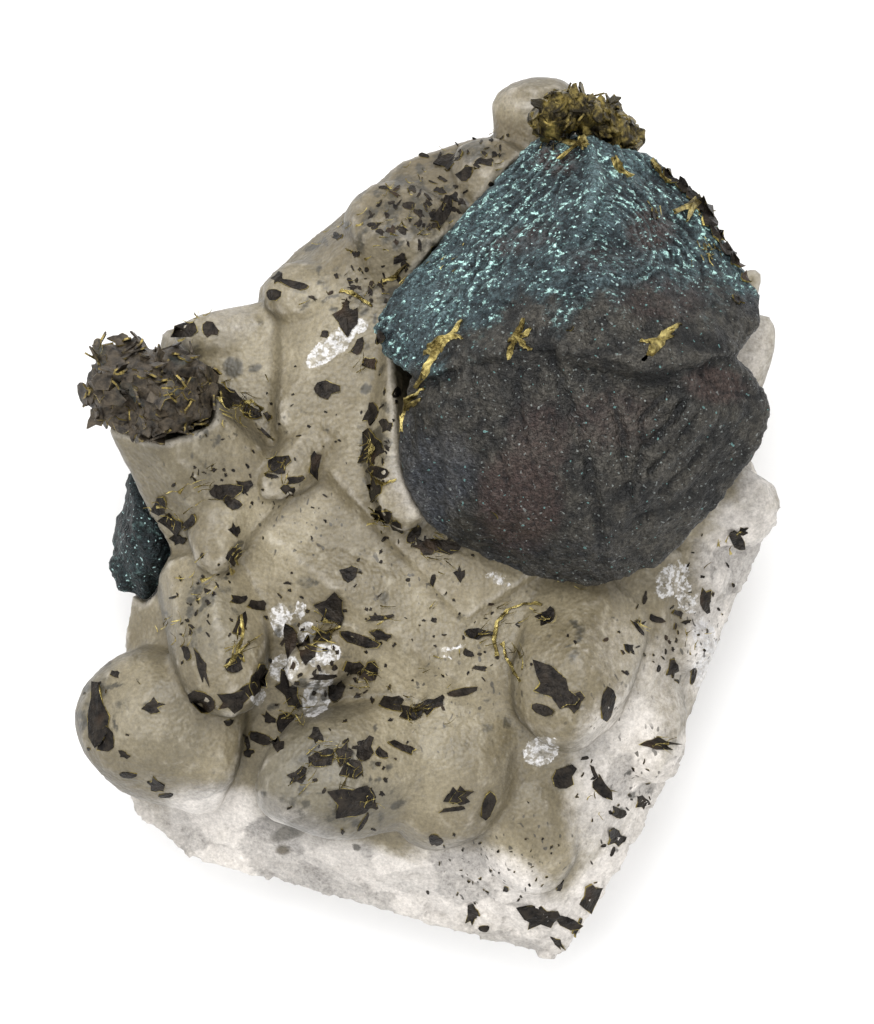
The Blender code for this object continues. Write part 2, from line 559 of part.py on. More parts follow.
def build():
    clear_scene()
    specimen = new_collection("bornite_specimen")
    helpers = new_collection("helpers")
    materials = {name: make_material(name) for name in MATERIALS}

    quartz = make_quartz(specimen, helpers)
    large = make_large_bornite(specimen, helpers)
    small = make_small_bornite(specimen)
    crust = make_crust(specimen)
    crown = make_crown(specimen, helpers)
    seat(large, crown, helpers)
    keep_largest(large)
    seat(quartz, large, helpers, low_y=LEDGE_Y - BAND_OVERLAP)
    seat(quartz, large, helpers, high_y=LEDGE_Y + BAND_OVERLAP)
    for guest in (small, crust, crown):
        seat(quartz, guest, helpers)
    saw_back(quartz, helpers)
    keep_largest(quartz)
    pieces = [(quartz, "quartz"), (large, "bornite"), (small, "bornite"),
              (crust, "sulfide"), (crown, "chalcopyrite")]

    trees = [surface_of(obj) for obj, _material in pieces]
    quartz_tree, large_tree = trees[:2]
    for i, (name, sizes) in enumerate(SEAM_BLADES.items()):
        blade = lay_plate(name, sizes, large_tree, trees, 40 + i, specimen)
        pieces.append((blade, "chalcopyrite"))
    for i, sizes in enumerate(RIM_PLATES):
        name = f"rim_plate_{i + 1}"
        plate = lay_plate(name, sizes, large_tree, trees, 60 + i, specimen)
        pieces.append((plate, "chalcopyrite"))
    for i, sizes in enumerate(FLAKES):
        name = f"sulfide_flake_{i + 1:02d}"
        flake = lay_plate(name, sizes, quartz_tree, trees, 80 + i, specimen)
        pieces.append((flake, "sulfide"))

    for obj, material in pieces:
        obj.data.materials.clear()
        obj.data.materials.append(materials[material])
    return centre_on_floor([obj for obj, _material in pieces])


shift = build()
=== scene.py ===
# %% [markdown]
# # A bornite specimen
# The solids of this specimen come in the imported frame, and this lesson dresses them: hazy
# quartz, a blue-black bornite crystal, dark sulfide flakes and brassy chalcopyrite.
# Each step says what the piece is on the real specimen, how it could be made, and why it
# is made this way. Lengths are in metres in the scene, and `MM` turns millimetres into them.

# %% Load the imported frame
import math
import random

import bpy
import numpy as np
from mathutils import Matrix, Vector, noise
from mathutils.bvhtree import BVHTree


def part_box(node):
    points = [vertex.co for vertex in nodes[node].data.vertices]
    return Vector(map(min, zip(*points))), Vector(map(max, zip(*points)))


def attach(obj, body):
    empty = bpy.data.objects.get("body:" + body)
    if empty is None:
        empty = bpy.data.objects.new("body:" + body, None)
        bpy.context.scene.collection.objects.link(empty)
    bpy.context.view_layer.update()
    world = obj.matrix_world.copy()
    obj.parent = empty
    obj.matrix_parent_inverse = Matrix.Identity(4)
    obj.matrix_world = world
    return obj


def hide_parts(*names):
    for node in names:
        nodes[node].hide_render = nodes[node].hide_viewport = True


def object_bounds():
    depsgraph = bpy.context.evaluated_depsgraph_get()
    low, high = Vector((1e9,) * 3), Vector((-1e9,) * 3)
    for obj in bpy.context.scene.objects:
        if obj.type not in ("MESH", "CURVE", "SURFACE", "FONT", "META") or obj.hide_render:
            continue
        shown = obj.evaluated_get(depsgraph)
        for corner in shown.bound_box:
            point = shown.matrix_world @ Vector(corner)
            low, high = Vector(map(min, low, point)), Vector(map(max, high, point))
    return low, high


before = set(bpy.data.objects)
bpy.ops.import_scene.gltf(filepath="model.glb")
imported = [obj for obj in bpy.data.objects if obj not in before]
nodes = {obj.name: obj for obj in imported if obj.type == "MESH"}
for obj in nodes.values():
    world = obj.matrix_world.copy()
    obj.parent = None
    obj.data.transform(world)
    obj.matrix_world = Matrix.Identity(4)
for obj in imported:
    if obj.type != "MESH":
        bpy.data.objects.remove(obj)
cad_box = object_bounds()
MM = 0.001
print("the frame has", len(nodes), "solids in the box", cad_box)

# %% [markdown]
# ## Camera, floor and light
# The photograph looks straight down on the specimen, from so far away that nothing looks
# nearer than the rest. A long lens gives that. Reading the photograph in pixels is handy for
# placing small things, so `sight` turns a pixel into a line of sight, and `pixels_of` turns
# points on the specimen back into pixels.

# %% The camera
PIXEL = 0.06 * MM          # one pixel of the photograph, at the height FACE
FACE = 13 * MM
LENS, SENSOR, TALL = 300, 36, 1024
MID_PX, MID_PY = 437, 512  # the middle of the photograph
DISTANCE = PIXEL * TALL * LENS / SENSOR
MIDDLE = Vector((0.467 * MM, 0.471 * MM, 0))

bpy.ops.object.camera_add(location=(MIDDLE.x, MIDDLE.y, FACE + DISTANCE), rotation=(0, 0, 0))
camera = bpy.context.object
camera.data.lens = LENS
camera.data.sensor_width = SENSOR
camera.data.clip_end = 10
bpy.context.scene.camera = camera
bpy.context.scene.view_settings.view_transform = "Standard"


def sight(px, py):
    """Where the line of sight through a pixel of the photograph starts, and its direction."""
    start = camera.location.copy()
    aim = Vector((MIDDLE.x + (px - MID_PX) * PIXEL, MIDDLE.y + (MID_PY - py) * PIXEL, FACE))
    return start, (aim - start).normalized()


def pixels_of(points):
    """The pixels of the photograph at which an array of points is seen."""
    nearer = DISTANCE / (FACE + DISTANCE - points[:, 2])
    px = MID_PX + (points[:, 0] - MIDDLE.x) * nearer / PIXEL
    py = MID_PY - (points[:, 1] - MIDDLE.y) * nearer / PIXEL
    return px, py


print("the camera stands", round(DISTANCE, 3), "m over the face")


# %% [markdown]
# The floor is a plain white sheet, and the light is a white sky with one wide soft lamp over
# the top edge of the specimen, one to its left and one over its lower right. The lamps are
# large, so shadows stay soft and the bornite shows broad pale reflections.

# %% The floor and the lamps
def clear_selection():
    if bpy.context.object and bpy.context.object.mode != "OBJECT":
        bpy.ops.object.mode_set(mode="OBJECT")
    bpy.ops.object.select_all(action="DESELECT")


clear_selection()
bpy.ops.mesh.primitive_plane_add(size=3, location=(0, 0, -0.02 * MM))
floor = bpy.context.object
floor.name = "floor"

LAMPS = [  # place, size and power of each lamp
    ((-0.05, 0.34, 0.60), 0.40, 3.5),
    ((-0.42, 0.08, 0.50), 0.30, 1.1),
    ((0.30, -0.40, 0.50), 0.30, 1.4),
]
for place, size, power in LAMPS:
    bpy.ops.object.light_add(type="AREA", location=place)
    lamp = bpy.context.object
    lamp.rotation_euler = Vector(place).to_track_quat("Z", "Y").to_euler()
    lamp.data.size = size
    lamp.data.energy = power

sky = bpy.data.worlds.new("sky")
bpy.context.scene.world = sky
sky.use_nodes = True
sky.node_tree.nodes["Background"].inputs["Color"].default_value = (1, 1, 1, 1)
sky.node_tree.nodes["Background"].inputs["Strength"].default_value = 0.80
print(len(LAMPS), "lamps and a white sky")


# %% [markdown]
# ## Writing finishes as sums
# A finish is a net of shader nodes. Wrapping a socket in a small class lets a sum be written
# as Python, such as `stain * 0.4 + 0.1`, and each operator adds its own node. `Finish` holds
# one material: `node` adds any node, and the other methods name the patterns used here.

# %% A class for sockets and one for materials
class Value:
    """One output of a node, with operators that add Math nodes."""

    def __init__(self, finish, socket):
        self.finish, self.socket = finish, socket

    def math(self, operation, first, second=0.0, clamp=False):
        settings = {"operation": operation, "use_clamp": clamp}
        return self.finish.node("ShaderNodeMath", settings, {0: first, 1: second})

    def __add__(self, other): return self.math("ADD", self, other)
    def __radd__(self, other): return self.math("ADD", other, self)
    def __sub__(self, other): return self.math("SUBTRACT", self, other)
    def __rsub__(self, other): return self.math("SUBTRACT", other, self)
    def __mul__(self, other): return self.math("MULTIPLY", self, other)
    def __rmul__(self, other): return self.math("MULTIPLY", other, self)

    def step(self, low, high):
        """0 below low, 1 above high, and a soft rise between them."""
        settings = {"interpolation_type": "SMOOTHSTEP"}
        return self.finish.node("ShaderNodeMapRange", settings, {0: self, 1: low, 2: high})


class Finish:
    """One material and the patterns that feed its shader."""

    def __init__(self, name, slot, **constants):
        self.material = bpy.data.materials.new(name)
        self.material.use_nodes = True
        self.tree = self.material.node_tree
        self.shader = self.tree.nodes["Principled BSDF"]
        self.slot = slot
        self.set(**constants)
        place = self.node("ShaderNodeTexCoord", out="Object")
        self.place = self.vector("SCALE", place, Scale=1 / MM)

    def node(self, kind, settings=None, values=None, out=0):
        node = self.tree.nodes.new(kind)
        for key, value in (settings or {}).items():
            setattr(node, key, value)
        for key, value in (values or {}).items():
            self.feed(node.inputs[key], value)
        return Value(self, node.outputs[out])

    def feed(self, socket, value):
        if isinstance(value, Value):
            self.tree.links.new(value.socket, socket)
        elif socket.type == "RGBA":
            socket.default_value = (*value, 1.0)
        else:
            socket.default_value = value

    def set(self, **values):
        """Sets sockets of the shader, by their names with _ for a space."""
        for name, value in values.items():
            self.feed(self.shader.inputs[name.replace("_", " ")], value)

    def vector(self, operation, first, second=(0, 0, 0), Scale=1.0):
        values = {0: first, "Scale": Scale} if operation == "SCALE" else {0: first, 1: second}
        return self.node("ShaderNodeVectorMath", {"operation": operation}, values)

    def mix(self, factor, a, b, blend="MIX"):
        settings = {"data_type": "RGBA", "blend_type": blend}
        return self.node("ShaderNodeMix", settings, {0: factor, 6: a, 7: b}, out=2)

    def noise(self, scale, detail=3.0, rough=0.55, warp=0.0, place=None, out=0):
        values = {"Vector": place or self.place, "Scale": scale, "Detail": detail,
                  "Roughness": rough, "Distortion": warp}
        return self.node("ShaderNodeTexNoise", None, values, out)

    def mark(self, name):
        """A number that was stored on the mesh's points."""
        settings = {"attribute_name": name, "attribute_type": "GEOMETRY"}
        return self.node("ShaderNodeAttribute", settings, None, out="Fac")

    def stretched(self, x, y, z, turn=0.0):
        """The place on the piece, squeezed along its axes, so that a pattern grows longer."""
        settings = {"vector_type": "POINT"}
        values = {"Vector": self.place, "Scale": (x, y, z), "Rotation": (0, 0, math.radians(turn))}
        return self.node("ShaderNodeMapping", settings, values)

    def bump(self, height, distance, strength=1.0, below=None):
        values = {"Height": height, "Distance": distance * MM, "Strength": strength}
        if below:
            values["Normal"] = below
        return self.node("ShaderNodeBump", None, values)


def dress(piece, finish):
    piece.data.materials.clear()
    piece.data.materials.append(finish.material)


white = Finish("white_floor", None, Base_Color=(0.92, 0.92, 0.92), Roughness=0.9)
dress(floor, white)
print("finishes are ready to be written")


# %% [markdown]
# ## A skin for each mineral
# A solid with a few thousand faces can't hold the fine relief of a crystal. Sculpting by hand
# would do it, and so would a displacement modifier with a texture. Here each skin is a merged
# copy of the solid, remeshed evenly, smoothed, and moved along its normals by a height that is
# worked out for every point. That puts ridges and fractures exactly where they are wanted,
# and the same numbers are stored on the points for the finish to use.

# %% Helpers that make a skin
def take(piece):
    clear_selection()
    piece.select_set(True)
    bpy.context.view_layer.objects.active = piece


def apply_modifier(piece, kind, **settings):
    take(piece)
    modifier = piece.modifiers.new(kind.lower(), kind)
    for key, value in settings.items():
        setattr(modifier, key, value)
    bpy.ops.object.modifier_apply(modifier=modifier.name)


def skin_of(node, name, grain, rounds):
    """A merged and evenly remeshed copy of a solid, smoothed a few times over."""
    piece = bpy.data.objects.new(name, nodes[node].data.copy())
    bpy.context.scene.collection.objects.link(piece)
    take(piece)
    bpy.ops.object.mode_set(mode="EDIT")
    bpy.ops.mesh.select_all(action="SELECT")
    bpy.ops.mesh.remove_doubles(threshold=1e-6)
    bpy.ops.object.mode_set(mode="OBJECT")
    apply_modifier(piece, "REMESH", mode="VOXEL", voxel_size=grain * MM)
    apply_modifier(piece, "SMOOTH", factor=0.5, iterations=rounds)
    bpy.ops.object.shade_smooth()
    return piece


def points_of(piece):
    found = np.zeros(len(piece.data.vertices) * 3)
    piece.data.vertices.foreach_get("co", found)
    return found.reshape(-1, 3)


def normals_of(piece):
    found = np.zeros(len(piece.data.vertices) * 3)
    piece.data.vertex_normals.foreach_get("vector", found)
    return found.reshape(-1, 3)


def keep_points(piece, points):
    """Writes the points back, none of them outside the box of the solids."""
    low, high = np.array(cad_box[0]), np.array(cad_box[1])
    piece.data.vertices.foreach_set("co", np.clip(points, low, high).ravel())
    piece.data.update()


def store(piece, name, values):
    layer = piece.data.attributes.new(name, "FLOAT", "POINT")
    layer.data.foreach_set("value", np.asarray(values, dtype=np.float32))


def smooth_step(values, low, high):
    t = np.clip((values - low) / (high - low), 0, 1)
    return t * t * (3 - 2 * t)


REACH = 1.25      # a mark fades out a little past its half sizes
CORNERED = 0.72   # how much the corners of a pane are cut off
DIMENSION, LACUNARITY = 0.7, 2.1  # how fast the smaller waves of noise fade and shrink
APART = 7.3       # takes neighbouring cells to unlike values of noise


def in_axes(px, py, row):
    """Where points lie along the two axes of a mark, counted in its half sizes."""
    x, y, long, wide, turn, _ = row
    angle = math.radians(turn)
    dx, dy = px - x, y - py
    return ((dx * math.cos(angle) + dy * math.sin(angle)) / long,
            (dy * math.cos(angle) - dx * math.sin(angle)) / wide)


def spots(px, py, table):
    """How strongly points lie inside ovals. A row has px, py, half sizes, turn and strength."""
    total = np.zeros(len(px))
    for row in table:
        a, b = in_axes(px, py, row)
        total = np.maximum(total, row[5] * np.clip(REACH - a ** 2 - b ** 2, 0, 1))
    return total


def panes(px, py, table):
    """The same for six-sided pieces with sharp edges."""
    total = np.zeros(len(px))
    for row in table:
        a, b = np.abs(in_axes(px, py, row))
        out = np.maximum(np.maximum(a, b), (a + b) * CORNERED)
        total = np.maximum(total, row[5] * np.clip((REACH - out) * 2, 0, 1))
    return total


def heights(points, scale, octaves=3, seed=0.0):
    """Soft noise between about -1 and 1 at an array of points, scale in waves per millimetre."""
    shift = Vector((seed, seed * 0.7, -seed))
    places = [Vector(p) * scale / MM + shift for p in points]
    return np.array([noise.fractal(place, DIMENSION, LACUNARITY, octaves) for place in places])


def facets(points, scale, seed=0.0):
    """A height made of small tilted planes with steps between them, as on broken quartz."""
    shift = Vector((seed, seed, seed))
    found = []
    for p in points:
        place = Vector(p) * scale / MM + shift
        _, cells = noise.voronoi(place)
        tilt = noise.cell_vector(cells[0] * APART) - Vector((0.5, 0.5, 0.5))
        found.append((place - cells[0]).dot(tilt))
    return np.array(found)


def hollows(piece, rounds=3):
    """About 1 in hollows, -1 on crests and 0 where the skin is even."""
    points, normals = points_of(piece), normals_of(piece)
    ends = np.zeros(len(piece.data.edges) * 2, dtype=np.int32)
    piece.data.edges.foreach_get("vertices", ends)
    one, two = ends.reshape(-1, 2).T
    number = np.bincount(np.concatenate([one, two]), minlength=len(points)).astype(float)
    way = points[two] - points[one]
    length = np.linalg.norm(way, axis=1)
    bend = np.zeros(len(points))
    np.add.at(bend, one, (way * normals[one]).sum(1) / length)
    np.add.at(bend, two, (-way * normals[two]).sum(1) / length)
    bend /= number
    for _ in range(rounds):
        near = np.zeros(len(points))
        np.add.at(near, one, bend[two])
        np.add.at(near, two, bend[one])
        bend = bend * 0.5 + near / number * 0.5
    return np.clip(bend / (2.5 * bend.std()), -1, 1)


def along(px, py, line, wide):
    """1 on a line through pixels, falling softly to 0 at about its width."""
    nearest = np.full(len(px), 1e9)
    for (x0, y0), (x1, y1) in zip(line, line[1:]):
        span = (x1 - x0) ** 2 + (y1 - y0) ** 2
        t = np.clip(((px - x0) * (x1 - x0) + (py - y0) * (y1 - y0)) / span, 0, 1)
        nearest = np.minimum(nearest, np.hypot(px - x0 - t * (x1 - x0), py - y0 - t * (y1 - y0)))
    return np.exp(-(nearest / wide) ** 2)


print("helpers for skins are ready")

# %% [markdown]
# ## Quartz
# The matrix is hazy quartz: rounded crystals with a smooth, faintly frosted skin, standing on
# broken quartz that shows small curved fractures along its lower border and underside.
# The crystals keep their smooth forms, and only the broken part gets facets.
# Its flat back is where it was sawn, and that face stays flat.

# %% The quartz skin
quartz_skin = skin_of("quartz_matrix", "quartz_skin", 0.26, 2)
points, normals = points_of(quartz_skin), normals_of(quartz_skin)
px, py = pixels_of(points)
BORDER = [  # pixels on the upper edge of the broken quartz
    (60, 770), (150, 800), (200, 835), (300, 850), (380, 880), (470, 860), (560, 900), (640, 790),
    (700, 700),
]
border = np.interp(px, [x for x, _ in BORDER], [y for _, y in BORDER])
low_side = smooth_step(1.5 * heights(points, 0.25, 2, 17) - points[:, 2] / MM, -10.5, -5.5)
broken = np.maximum(smooth_step(py - border, -25, 25), low_side)
broken = np.maximum(broken, smooth_step(px, 690, 735) * smooth_step(py, 480, 520))
back = (points[:, 2] < 0.25 * MM) & (normals[:, 2] < -0.8)
smooth = (0.06 * heights(points, 0.35, 3, 2) + 0.05 * facets(points, 0.55, 4)
          + 0.02 * heights(points, 2.2, 2, 5))
rough = (0.50 * facets(points, 0.42) + 0.24 * facets(points, 1.1, 3)
         + 0.07 * heights(points, 1.6, 2, 9) - 0.10)
grow = 0.05 + (1 - broken) * smooth + broken * rough
grow[back] = 0
keep_points(quartz_skin, points + normals * (grow * MM)[:, None])
print("the quartz skin has", len(points), "points")

# %% [markdown]
# Inside the quartz lie veils, stains and dark flakes that show as soft shadows. They are the
# colour of the stone, so they aren't modelled. Each is an oval, or a six-sided pane where the
# quartz glitters, named by its place on the face, and its strength is stored on the points.
# The glitter is a painted highlight, and clear quartz is painted darker as painted shade.
# The finish breaks up the edges of these marks with noise.

# %% Where the quartz is pale, brown or shadowed, with painted shade and painted highlights
PALE = [  # broken and milky quartz
    (140, 812, 60, 22, -30, 0.4), (250, 838, 110, 50, -15, 1.2), (330, 870, 100, 40, -15, 1.2),
    (400, 890, 70, 34, -10, 1.2), (480, 890, 90, 50, -15, 0.85), (620, 770, 60, 110, -15, 0.75),
    (565, 930, 60, 40, -20, 0.8), (665, 690, 50, 90, -15, 0.5), (715, 650, 40, 80, 0, 0.9),
    (745, 570, 60, 60, 0, 0.9), (745, 340, 40, 60, 0, 0.6), (290, 285, 30, 40, 30, 0.2),
    (230, 320, 40, 30, 0, 0.3), (410, 480, 30, 50, 0, 0.45), (610, 650, 60, 50, 0, 0.32),
    (758, 495, 26, 46, 0, 0.7), (528, 96, 34, 24, 0, 0.3),
]
# Painted shade: clear quartz is darkened, and two rows paint the dark rim of a crystal.
CLEAR_SHADE = [  # clear quartz that looks darker
    (290, 770, 40, 70, -20, 0.9), (350, 810, 70, 40, 10, 0.8), (330, 730, 50, 40, 0, 0.5),
    (210, 620, 50, 60, 0, 0.55), (420, 770, 80, 60, 0, 0.35), (180, 470, 70, 70, 0, 0.45),
    (95, 700, 20, 60, 0, 0.6), (150, 730, 80, 80, 0, 0.45), (410, 230, 90, 60, 45, 0.4),
    (276, 772, 12, 56, -12, 1.3), (300, 826, 34, 10, 25, 1.3), (215, 330, 70, 30, 0, 0.4),
    (320, 780, 60, 60, 0, 0.9), (560, 800, 50, 50, 0, 0.3),
]
BROWN = [  # iron stain
    (420, 190, 120, 55, 40, 0.75), (500, 140, 50, 30, 0, 0.8), (360, 240, 50, 50, 45, 0.6),
    (283, 850, 9, 6, 0, 0.9), (600, 592, 60, 20, 15, 0.25), (700, 530, 80, 30, 50, 0.15),
    (340, 440, 40, 80, 0, 0.35), (240, 440, 120, 50, -20, 0.3), (450, 570, 90, 40, -30, 0.4),
]
# Painted highlights: the glitter of these fracture faces is pale colour, not a reflection.
GLITTER_HIGHLIGHTS = [  # small fracture faces that glitter
    (322, 655, 20, 11, 10, 1), (318, 695, 14, 24, -25, 1), (284, 668, 15, 13, 30, 1),
    (281, 620, 11, 18, 10, 0.8), (306, 632, 9, 11, -20, 0.9), (541, 751, 19, 15, 20, 0.75),
    (672, 580, 24, 17, 50, 0.6), (688, 600, 12, 16, 10, 0.6), (706, 640, 12, 24, 20, 0.8),
    (700, 672, 10, 18, -10, 0.7), (331, 347, 30, 11, 38, 1), (345, 332, 12, 7, 20, 0.9),
    (258, 697, 8, 8, 40, 1), (500, 580, 17, 8, -20, 0.55), (452, 648, 17, 4, 12, 0.6),
    (446, 657, 10, 3, -20, 0.6), (389, 452, 6, 14, 10, 0.25), (300, 610, 8, 10, 0, 0.6),
    (362, 325, 8, 8, 30, 0.7),
]
SHADOWED = [  # flakes deep inside, seen through the haze
    (205, 432, 5, 9, 20, 0.8), (217, 440, 5, 8, -20, 0.7), (213, 447, 3, 6, 0, 0.6),
    (205, 475, 9, 11, 0, 0.5), (233, 367, 13, 13, 0, 0.9), (255, 368, 10, 6, 15, 0.8),
    (197, 352, 8, 12, 0, 0.6), (260, 322, 5, 8, 0, 0.6), (385, 298, 16, 14, 0, 0.5),
    (363, 300, 16, 20, 0, 0.5), (413, 203, 14, 10, 0, 0.6), (383, 210, 12, 8, 0, 0.5),
    (413, 228, 8, 6, 0, 0.6), (440, 160, 16, 12, 30, 0.6), (470, 150, 20, 10, 20, 0.7),
    (350, 235, 10, 8, 0, 0.4), (385, 598, 8, 9, 0, 0.7), (225, 590, 9, 6, 0, 0.6),
    (200, 585, 6, 12, 10, 0.7), (190, 610, 5, 14, 0, 0.7), (212, 600, 6, 12, -15, 0.6),
    (195, 640, 6, 14, 0, 0.6), (215, 650, 8, 9, 0, 0.4), (305, 582, 12, 9, 0, 0.6),
    (300, 760, 16, 10, 20, 0.5), (290, 800, 18, 9, -30, 0.5), (330, 820, 20, 6, -15, 0.4),
    (375, 765, 8, 7, 0, 0.6), (345, 808, 22, 20, 0, 0.6), (420, 780, 10, 4, 40, 0.4),
    (433, 773, 8, 5, 0, 0.5), (487, 728, 9, 9, 0, 0.6), (507, 723, 6, 8, 0, 0.7),
    (400, 760, 8, 5, 20, 0.3), (580, 633, 6, 13, -15, 0.7), (573, 655, 5, 12, -10, 0.6),
    (593, 625, 3, 8, 0, 0.5), (530, 640, 16, 9, 20, 0.4), (545, 610, 26, 7, 15, 0.4),
    (632, 795, 5, 6, 0, 0.7), (650, 790, 6, 6, 0, 0.6), (640, 768, 12, 4, 0, 0.4),
    (450, 585, 5, 4, 0, 0.5), (152, 707, 12, 9, -10, 0.8), (120, 708, 12, 10, 0, 0.5),
    (103, 657, 10, 14, 30, 0.9), (128, 698, 14, 3, 0, 0.5), (100, 690, 12, 10, 0, 0.8),
    (650, 625, 9, 5, 10, 0.3), (715, 570, 14, 3, 50, 0.4), (690, 575, 12, 3, -50, 0.4),
    (540, 870, 5, 8, 0, 0.3),
]
SPECKLED = [  # clouds of tiny black specks
    (300, 520, 60, 45, 0, 1), (480, 870, 45, 40, 0, 1), (540, 840, 50, 40, 0, 0.9),
    (490, 842, 40, 6, 18, 1), (400, 580, 70, 50, 0, 0.7), (470, 680, 90, 60, 0, 0.6),
    (640, 760, 40, 50, 0, 0.7), (230, 420, 60, 40, 0, 0.6), (690, 640, 40, 60, 0, 0.7),
    (600, 700, 60, 50, 0, 0.6), (430, 720, 60, 50, 0, 0.5), (160, 460, 40, 40, 0, 0.4),
]
DEEP = [  # px, py, half sizes, how many, size: clouds of small shadowed flakes
    (400, 215, 90, 62, 120, 10), (480, 150, 40, 20, 18, 9), (345, 285, 50, 40, 26, 8),
    (205, 610, 32, 50, 26, 7), (310, 665, 60, 60, 30, 7), (345, 790, 60, 45, 26, 8),
    (375, 440, 18, 90, 26, 9), (95, 700, 26, 50, 14, 8), (570, 650, 50, 50, 16, 6),
    (420, 700, 110, 80, 30, 5), (250, 440, 90, 60, 30, 5), (620, 800, 50, 70, 16, 4),
]
random.seed(7)
for cx, cy, wide_x, wide_y, count, size in DEEP:
    for _ in range(count):
        x, y = cx + random.gauss(0, 0.5) * wide_x, cy + random.gauss(0, 0.5) * wide_y
        SHADOWED.append((x, y, size * random.uniform(0.5, 1.5), size * random.uniform(0.25, 0.8),
                         random.uniform(0, 180), random.uniform(0.35, 0.9)))
points = points_of(quartz_skin)
normals = normals_of(quartz_skin)
px, py = pixels_of(points)
seen = smooth_step(normals[:, 2], -0.2, 0.3)
store(quartz_skin, "pale", np.maximum(spots(px, py, PALE) * seen, broken * 0.8))
store(quartz_skin, "clear_shade", spots(px, py, CLEAR_SHADE) * seen)
store(quartz_skin, "brown", spots(px, py, BROWN) * seen)
store(quartz_skin, "glitter_highlight", panes(px, py, GLITTER_HIGHLIGHTS) * seen)
store(quartz_skin, "shadowed", spots(px, py, SHADOWED) * seen)
store(quartz_skin, "speckled", spots(px, py, SPECKLED) * seen)
PANES = 0.36  # flat panes per millimetre
seeds = [noise.voronoi(Vector(p) * PANES / MM)[1][0] for p in points]
store(quartz_skin, "pane", [noise.cell(seed * APART) for seed in seeds])
store(quartz_skin, "cloud", 0.5 + 0.4 * heights(points, 0.16, 2, 13))
# The hollow mark drives painted shade in hollows and painted light on crests.
store(quartz_skin, "hollow", hollows(quartz_skin, 1))
# Painted shade: the steep sides of the upper crystals are marked to be darkened.
store(quartz_skin, "steep", smooth_step(1 - normals[:, 2], 0.25, 0.9) * (points[:, 2] > 8 * MM))
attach(quartz_skin, "root")
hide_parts("quartz_matrix")
print("stored ten marks on the quartz")

# %% [markdown]
# Light scattered inside the stone would be the true way to its haze, and it is slow to render.
# The stone is so cloudy that hardly anything shines through it, so its depth is put into the
# colour: painted shade where it is clear and steep and in its hollows, painted light on its
# crests, pale where it is milky, with soft veils between.

# %% The finish of the quartz
quartz = Finish("hazy_quartz", "quartz", IOR=1.54)
cloud = quartz.mark("cloud")
veil = quartz.noise(0.9, 3, 0.72, place=quartz.stretched(1, 0.5, 1, 30))
ragged = (quartz.noise(1.9, 3, 0.75) - 0.5) * 0.7
grain = quartz.noise(8.0, 1, 0.7)
hollow = quartz.mark("hollow")
pale = (quartz.mark("pale") + ragged * 0.7 + (cloud - 0.5) * 0.4).step(0.15, 0.90)
clear_shade = (quartz.mark("clear_shade") + ragged * 0.7).step(0.1, 0.9)
brown = (quartz.mark("brown") + ragged).step(0.1, 0.9)
body = quartz.mix(cloud.step(0.3, 0.7), (0.155, 0.127, 0.074), (0.252, 0.213, 0.135))
body = quartz.mix(veil.step(0.52, 0.80) * 0.5, body, (0.37, 0.337, 0.265))
body = quartz.mix(pale, body, (0.64, 0.598, 0.552))
body = quartz.mix(brown * 0.85, body, (0.125, 0.098, 0.055))
# Painted shade: clear quartz is darkened in the base colour.
body = quartz.mix(clear_shade * 0.75, body, (0.105, 0.092, 0.062))
# Painted shade on the steep sides of the crystals.
body = quartz.mix(quartz.mark("steep") * (1 - pale) * 0.80, body, (0.085, 0.074, 0.052))
# Painted shade in the hollows between crystals.
body = quartz.mix(hollow.step(0.10, 0.8) * (1 - pale * 0.7) * 0.36, body, (0.100, 0.082, 0.052))
# Painted light on the crests.
body = quartz.mix((hollow * -1).step(0.2, 0.9) * 0.30, body, (0.62, 0.58, 0.52))
glitter_highlight = (quartz.mark("glitter_highlight") + ragged * 1.6).step(0.45, 0.58)
flecks = (quartz.noise(2.6, 1) + (grain - 0.5) * 0.5).step(0.40, 0.62)
# Painted highlight: the glittering faces are made pale in the base colour.
body = quartz.mix(glitter_highlight * (flecks * 0.65 + 0.15), body, (0.74, 0.73, 0.73))
shadowed = (quartz.mark("shadowed") + ragged * 1.5).step(0.30, 0.80)
body = quartz.mix(shadowed * 0.85, body, (0.034, 0.030, 0.020))
specks = 1 - quartz.noise(4.0, 0, place=quartz.stretched(1, 0.6, 1, 25)).step(0.70, 0.77)
fine = 1 - grain.step(0.70, 0.78)
speckled = (quartz.mark("speckled") + ragged).step(0.2, 0.8)
few = quartz.noise(0.9, 2, 0.5).step(0.50, 0.60)
dots = (1 - specks) * (speckled * 0.9 + few * 0.35) + (1 - fine) * (few * 0.5 + speckled * 0.4)
body = quartz.mix(dots.step(0.0, 1.0) * 0.85, body, (0.040, 0.034, 0.024))
sand = quartz.noise(4.2, 2, 0.8)
pane = (quartz.mark("pane") - 0.5) * pale
tone = 0.32 + grain * 0.30 + sand * 0.84 + (veil - 0.5) * 0.6 + ragged * 0.40 + pane * 0.30
body = quartz.mix(1.0, body, tone, "MULTIPLY")
tilt = quartz.bump(quartz.noise(2.2, 1, 0.8), 0.20, 0.5)
quartz.set(Base_Color=body, Normal=tilt, Roughness=0.34 + grain * 0.25 - glitter_highlight * 0.12)
dress(quartz_skin, quartz)
print("quartz finish has", len(quartz.tree.nodes), "nodes")

# %% [markdown]
# ## The large bornite crystal
# The upper lobe is built of thin growth ridges that run along its edges and meet in a chevron
# on the middle ridge, and the lower lobe is a smooth shield with faint wrinkles. The ridges
# could be a bump alone, but they show in the outline, so they are real relief: the distance to
# the nearest edge of the lobe, bent by noise, is turned into waves.

